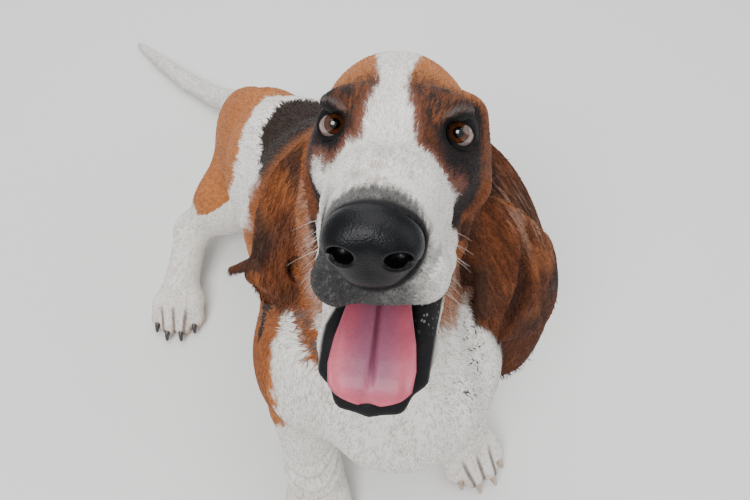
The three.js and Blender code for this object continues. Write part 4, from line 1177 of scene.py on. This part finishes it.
# Triangles over rings of points, closed by one point before the first and one after the last
def ring_faces(count, sides):
    first, last = count * sides, count * sides + 1
    faces = []
    for j in range(sides):
        k = (j + 1) % sides
        faces += [(first, j, k), (last, (count - 1) * sides + k, (count - 1) * sides + j)]
        for i in range(count - 1):
            a, b, c, d = i * sides + j, i * sides + k, (i + 1) * sides + k, (i + 1) * sides + j
            faces += [(a, c, b), (a, d, c)]
    return np.array(faces)


# A tapered tube along a line of points, closed at both ends
def tube(line, radii, sides):
    line = np.asarray(line, float)
    along = unit_rows(np.gradient(line, axis=0))
    helper = np.array((0.0, 0.0, 1.0)) if abs(along[0][2]) < 0.9 else np.array((1.0, 0, 0))
    side = unit_rows(np.cross(along, helper))
    up = np.cross(side, along)
    turn = np.arange(sides) / sides * 2 * math.pi
    rings = [c + r * (np.cos(turn)[:, None] * s + np.sin(turn)[:, None] * t)
             for c, r, s, t in zip(line, radii, side, up)]
    points = np.concatenate(rings + [line[:1] - along[0] * radii[0] * 0.3,
                                     line[-1:] + along[-1] * radii[-1] * 0.6])
    return points.T.astype(np.float32), ring_faces(len(line), sides)


def join_meshes(pieces):
    points, faces, start = [], [], 0
    for p, f in pieces:
        points.append(p)
        faces.append(f + start)
        start += p.shape[1]
    return np.concatenate(points, 1), np.concatenate(faces)


# Eyes: brown iris about a round pupil, both turned to whoever stands before the dog
VIEWER = (-50, 0, 738.5)
EYE_SIDES = 64
EYE_WHITE, EYE_CORNER = (0.23, 0.165, 0.15), (0.30, 0.10, 0.09)
IRIS, IRIS_INNER, IRIS_RIM = (0.075, 0.022, 0.0065), (0.02, 0.007, 0.004), (0.012, 0.006, 0.004)
PUPIL = (0.001, 0.001, 0.001)


def eye(side, sign):
    centre = from_head(vec(EYE_SPREAD * sign, EYE_BACK, EYE_LOW))
    look = unit(np.subtract(VIEWER, centre))
    one = unit(np.cross((0, 0, 1), look))
    two = np.cross(look, one)
    polar = np.concatenate([np.linspace(0, 0.75, 40), np.linspace(0.8, math.pi, 24)])[1:-1]
    turn = np.arange(EYE_SIDES) / EYE_SIDES * 2 * math.pi
    th, ph = (a.ravel() for a in np.meshgrid(polar, turn, indexing="ij"))
    th, ph = np.append(th, [0, math.pi]), np.append(ph, [0, 0])
    radius = EYE_RADIUS - 0.15 + 0.7 * ramp(0.66 - th, 0, 0.66)
    points = centre[:, None] + radius * (look[:, None] * np.cos(th) + np.sin(th) * (
        one[:, None] * np.cos(ph) + two[:, None] * np.sin(ph)))
    across = EYE_RADIUS * np.sin(np.minimum(th, 1.5))
    spoke = noise(np.stack([np.cos(ph) * 9, np.sin(ph) * 9, across * 0.35]), 1, 51)
    iris = layered(shades(IRIS, 0.5 + 1.0 * spoke), (IRIS_INNER, ramp(across, 4.6, 3.3) * 0.7),
                   (IRIS_RIM, ramp(across, 6.0, 7.0)))
    colour = toward(shades(EYE_WHITE, np.ones(len(th))), EYE_CORNER, ramp(th, 0.95, 1.4) * 0.6)
    colour = toward_all(colour, iris, ramp(across, 7.4, 7.0))
    colour = toward(colour, PUPIL, ramp(across, 3.5, 3.2))
    piece = mesh_object(f"eye_{side}_visual", points.astype(np.float32),
                        ring_faces(len(polar), EYE_SIDES), colour, EYE_MATERIAL)
    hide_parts(f"eye_{side}")


# Nose: a broad pad with deep nostrils and a groove down its middle
NOSE_MIDDLE = column(-1.2, 0, 0)
# The nostril colour is painted shade, darker than the pad
NOSE_BLACK, NOSTRIL_SHADE = (0.0035, 0.0035, 0.0045), (0.0015, 0.001, 0.001)


def nose_form(q):
    h = mirrored(q - NOSE_MIDDLE)
    d = nose_block(h)
    d = carve(d, egg((14.2, -128, -26.5), (6.6, 10, 5.2))(h), 2.4)
    d = carve(d, limb((15, -130, -29), (25, -118, -31), 2.4, 1.4)(h), 1.8)
    d = carve(d, limb((0, -134, -26), (0, -126, -58), 0.9, 1.8)(h), 1.6)
    return d + 0.2


def nose():
    at = [grid_lines(-32, (30, 0.8)), grid_lines(-136, (-98, 0.8)), grid_lines(-56, (6, 0.8))]
    points, faces = surface(nose_form, at, 0.8, rounds=3)
    hole = egg((14.2, -127, -26.5), (6.4, 10, 5))(mirrored(points - NOSE_MIDDLE))
    colour = shades(NOSE_BLACK, 0.7 + 0.6 * noise(points, 3, 61))
    # Painted shade inside the nostrils
    colour = toward(colour, NOSTRIL_SHADE, ramp(hole, 1.4, 0.2))
    piece = mesh_object("nose_pad", from_head(points), faces, colour, NOSE_MATERIAL)
    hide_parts("nose")


TONGUE = [(0, 44, 0), (0, 80, 5), (0, 112, 9), (0, 136, 11), (0, 152, 11), (0, 163, 8), (0, 171, 2)]
TONGUE_HALF = (15, 17, 20.5, 25, 26.5, 25, 14)
TONGUE_THICK = (9, 9, 9, 9, 9, 8, 6)
TONGUE_PINK, TONGUE_MAUVE = (0.50, 0.095, 0.14), (0.26, 0.085, 0.14)
# Painted shade for the groove and for the back of the tongue
TONGUE_GROOVE_SHADE, TONGUE_BACK_SHADE = (0.10, 0.02, 0.035), (0.16, 0.035, 0.055)


def tongue():
    rows, columns = 90, 56
    line = spline([jaw_point(*p) for p in TONGUE], rows + 1)
    along = unit_rows(np.gradient(line, axis=0))
    t = np.linspace(0, 1, rows + 1)
    turn = np.radians(JAW_DROP + 90 * np.clip((t - 0.6) / 0.6, 0, 1))
    face = np.stack([0 * t, -np.sin(turn), np.cos(turn)], 1)
    wide = unit_rows(np.cross(along, face))
    out = np.cross(wide, along)
    knots = np.linspace(0, 1, 7)
    half = np.interp(t, knots, TONGUE_HALF)
    half = half * np.where(t > 0.9, np.sqrt(np.clip(1 - ((t - 0.9) / 0.115) ** 2, 0.02, 1)), 1)
    thick = np.interp(t, knots, TONGUE_THICK)
    u = np.linspace(-1, 1, columns + 1)
    tt, uu = np.meshgrid(np.arange(rows + 1), u, indexing="ij")
    rim = np.sqrt(np.clip(1 - uu**2, 0, 1)) * np.sqrt(np.clip((1 - t[tt]) * 9, 0.02, 1))
    body = np.maximum(thick[tt] * rim, 0.5) / 2
    groove = -3.4 * np.exp(-(uu / 0.08) ** 2) * band(t[tt], 0.1, 0.3, 0.62, 0.9)
    curl = 3.4 * uu**2 + 0.8 * np.sin(uu * 9 + t[tt] * 7) * ramp(np.abs(uu), 0.55, 1)
    place = (line[tt] + wide[tt] * (uu * half[tt])[..., None] + out[tt] * curl[..., None])
    upper = place + out[tt] * (body + groove * ramp(np.abs(uu), 1, 0.7))[..., None]
    lower = place - out[tt] * body[..., None]
    points = np.concatenate([upper.reshape(-1, 3), lower.reshape(-1, 3)]).T
    index = np.arange((rows + 1) * (columns + 1)).reshape(rows + 1, columns + 1)
    under = index + index.size
    a, b, c, d = index[:-1, :-1], index[:-1, 1:], index[1:, 1:], index[1:, :-1]
    faces = [np.stack([a, b, c, d], -1).reshape(-1, 4)]
    a, b, c, d = under[:-1, :-1], under[1:, :-1], under[1:, 1:], under[:-1, 1:]
    faces.append(np.stack([a, b, c, d], -1).reshape(-1, 4))
    for edge in (index[0], index[:, -1], index[-1, ::-1], index[::-1, 0]):
        low = edge + index.size
        faces.append(np.stack([edge[:-1], low[:-1], low[1:], edge[1:]], -1))
    uv, tv = np.tile(uu.ravel(), 2), np.tile(t[tt].ravel(), 2)
    colour = layered(
        shades(TONGUE_PINK, 0.82 + 0.3 * noise(points, (5, 9, 9), 71)),
        (TONGUE_MAUVE, ramp(np.abs(uv), 0.85, 0.25) * ramp(tv, 0.97, 0.72) * 0.9),
        # Painted shade down the middle groove
        (TONGUE_GROOVE_SHADE, np.exp(-(uv / 0.045) ** 2) * ramp(tv, 0.82, 0.62) * 0.9),
        # Painted shade at the back of the tongue, under the upper jaw
        (TONGUE_BACK_SHADE, ramp(tv, 0.55, 0.2) * 0.7))
    piece = mesh_object("tongue_visual", from_head(points), np.concatenate(faces),
                        colour, TONGUE_MATERIAL)
    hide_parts("tongue")


# Claws: four on each paw, curved down and blunt
FORE_CLAW, HIND_CLAW = (0.42, 0.33, 0.25), (0.05, 0.04, 0.035)


def claws():
    pieces = []
    tones = []
    for kind, legs, scale in LIMBS:
        for leg in legs.values():
            turn = turn_matrix(leg["turn"]).T
            for x, y in TOES:
                end = vec(*toe_end(x, y, scale))
                steps = np.linspace(0, 1, 9)
                line = [end + vec(x * 0.06 * s, -5 - 15 * s, 3.5 - 8 * s**1.8) for s in steps]
                line = [turn @ p + vec(*leg["paw"]) for p in line]
                pieces.append(tube(line, 4.5 * (1 - 0.55 * steps**2) * scale, 12))
                tone = FORE_CLAW if kind == "fore" else HIND_CLAW
                tones.append(shades(tone, np.ones(pieces[-1][0].shape[1])))
    points, faces = join_meshes(pieces)
    points[2] = np.maximum(points[2], 0.3)
    colour = np.concatenate(tones, 1) * (0.7 + 0.6 * noise(points, (2, 6, 2), 81))
    mesh_object("claws", points, faces, colour, CLAW_MATERIAL)


# Whiskers on the lips, thin and pale
def whiskers():
    pieces = []
    for sign in (-1, 1):
        for row in range(4):
            for n in range(4):
                start = vec(sign * (27 + 2.2 * n + row), -98 + 13 * n + 3 * row, -40 - 7 * row)
                out = vec(sign * 0.85, 0.35 + 0.1 * n, -0.45 - 0.12 * row) + rng.normal(0, 0.1, 3)
                out = unit(out)
                long = rng.uniform(17, 38)
                s = np.linspace(0, 1, 7)
                line = [start + out * (long * t - 5) + vec(0, 6 * t * t, -9 * t * t) for t in s]
                line = [from_head(p) for p in line]
                pieces.append(tube(line, 0.26 * (1 - 0.8 * s), 4))
    points, faces = join_meshes(pieces)
    mesh_object("whiskers", points, faces, shades(WHISKER, np.ones(points.shape[1])), COAT)


set_stage()
COAT = material("coat", 0.5, (900, 0.0006, 0.25), specular=0.14)
SKIN = material("skin", 0.65, (420, 0.0012, 0.5), specular=0.15)
EYE_MATERIAL = material("eye", 0.12, coat=1.0, ior=1.4, coat_rough=0.03)
NOSE_MATERIAL = pebbled(material("nose", 0.36, specular=0.2), 900, 0.0004, 0.35)
TONGUE_MATERIAL = pebbled(material("tongue", 0.42, coat=0.12, coat_rough=0.12, specular=0.3),
                          900, 0.0004, 0.35)
CLAW_MATERIAL = material("claw", 0.35, (300, 0.0003, 0.3), coat=0.2)

# The skin, finest over the head
lines = [grid_lines(-230, (-150, 3), (-32, 2.4), (136, 1.25), (206, 2.4), (236, 3)),
         grid_lines(18, (96, 2.2), (300, 1.25), (420, 2.4), (992, 3)),
         grid_lines(-4, (60, 2.2), (340, 2.6), (534, 1.25))]
skin_points, skin_faces = surface(skin_field, lines)
skin = mesh_object("skin", skin_points, skin_faces, paint(skin_points) * 0.9, SKIN)
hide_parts("head", "lower_jaw", "neck", "torso", "rump", "tail", "ear_left", "ear_right",
            *[f"{part}_{side}" for part in ("foreleg", "forepaw", "hindleg", "hindpaw")
              for side in ("left", "right")])

# The coat: tufts over the whole skin, split by part into pieces
MOST = 19500                        # tufts in one piece
roots = scatter(skin_points, skin_faces, thickness)
roots = roots[:, bareness(roots) < 0.5]
own = belonging(roots)
colours = paint(roots)
leading = own.argmax(0)
for n, part in enumerate(NAMES):
    mine = np.flatnonzero(leading == n)
    if len(mine) < 10:
        continue
    mine = mine[np.argsort(chart(part, roots[:, mine])[1])]
    groups = np.array_split(mine, int(math.ceil(len(mine) / MOST)))
    for k, group in enumerate(groups):
        coat_piece(f"coat_{part}_{k + 1}", part, roots[:, group], colours[:, group], own[:, group])

eye("left", 1)
eye("right", -1)
nose()
tongue()
claws()
whiskers()
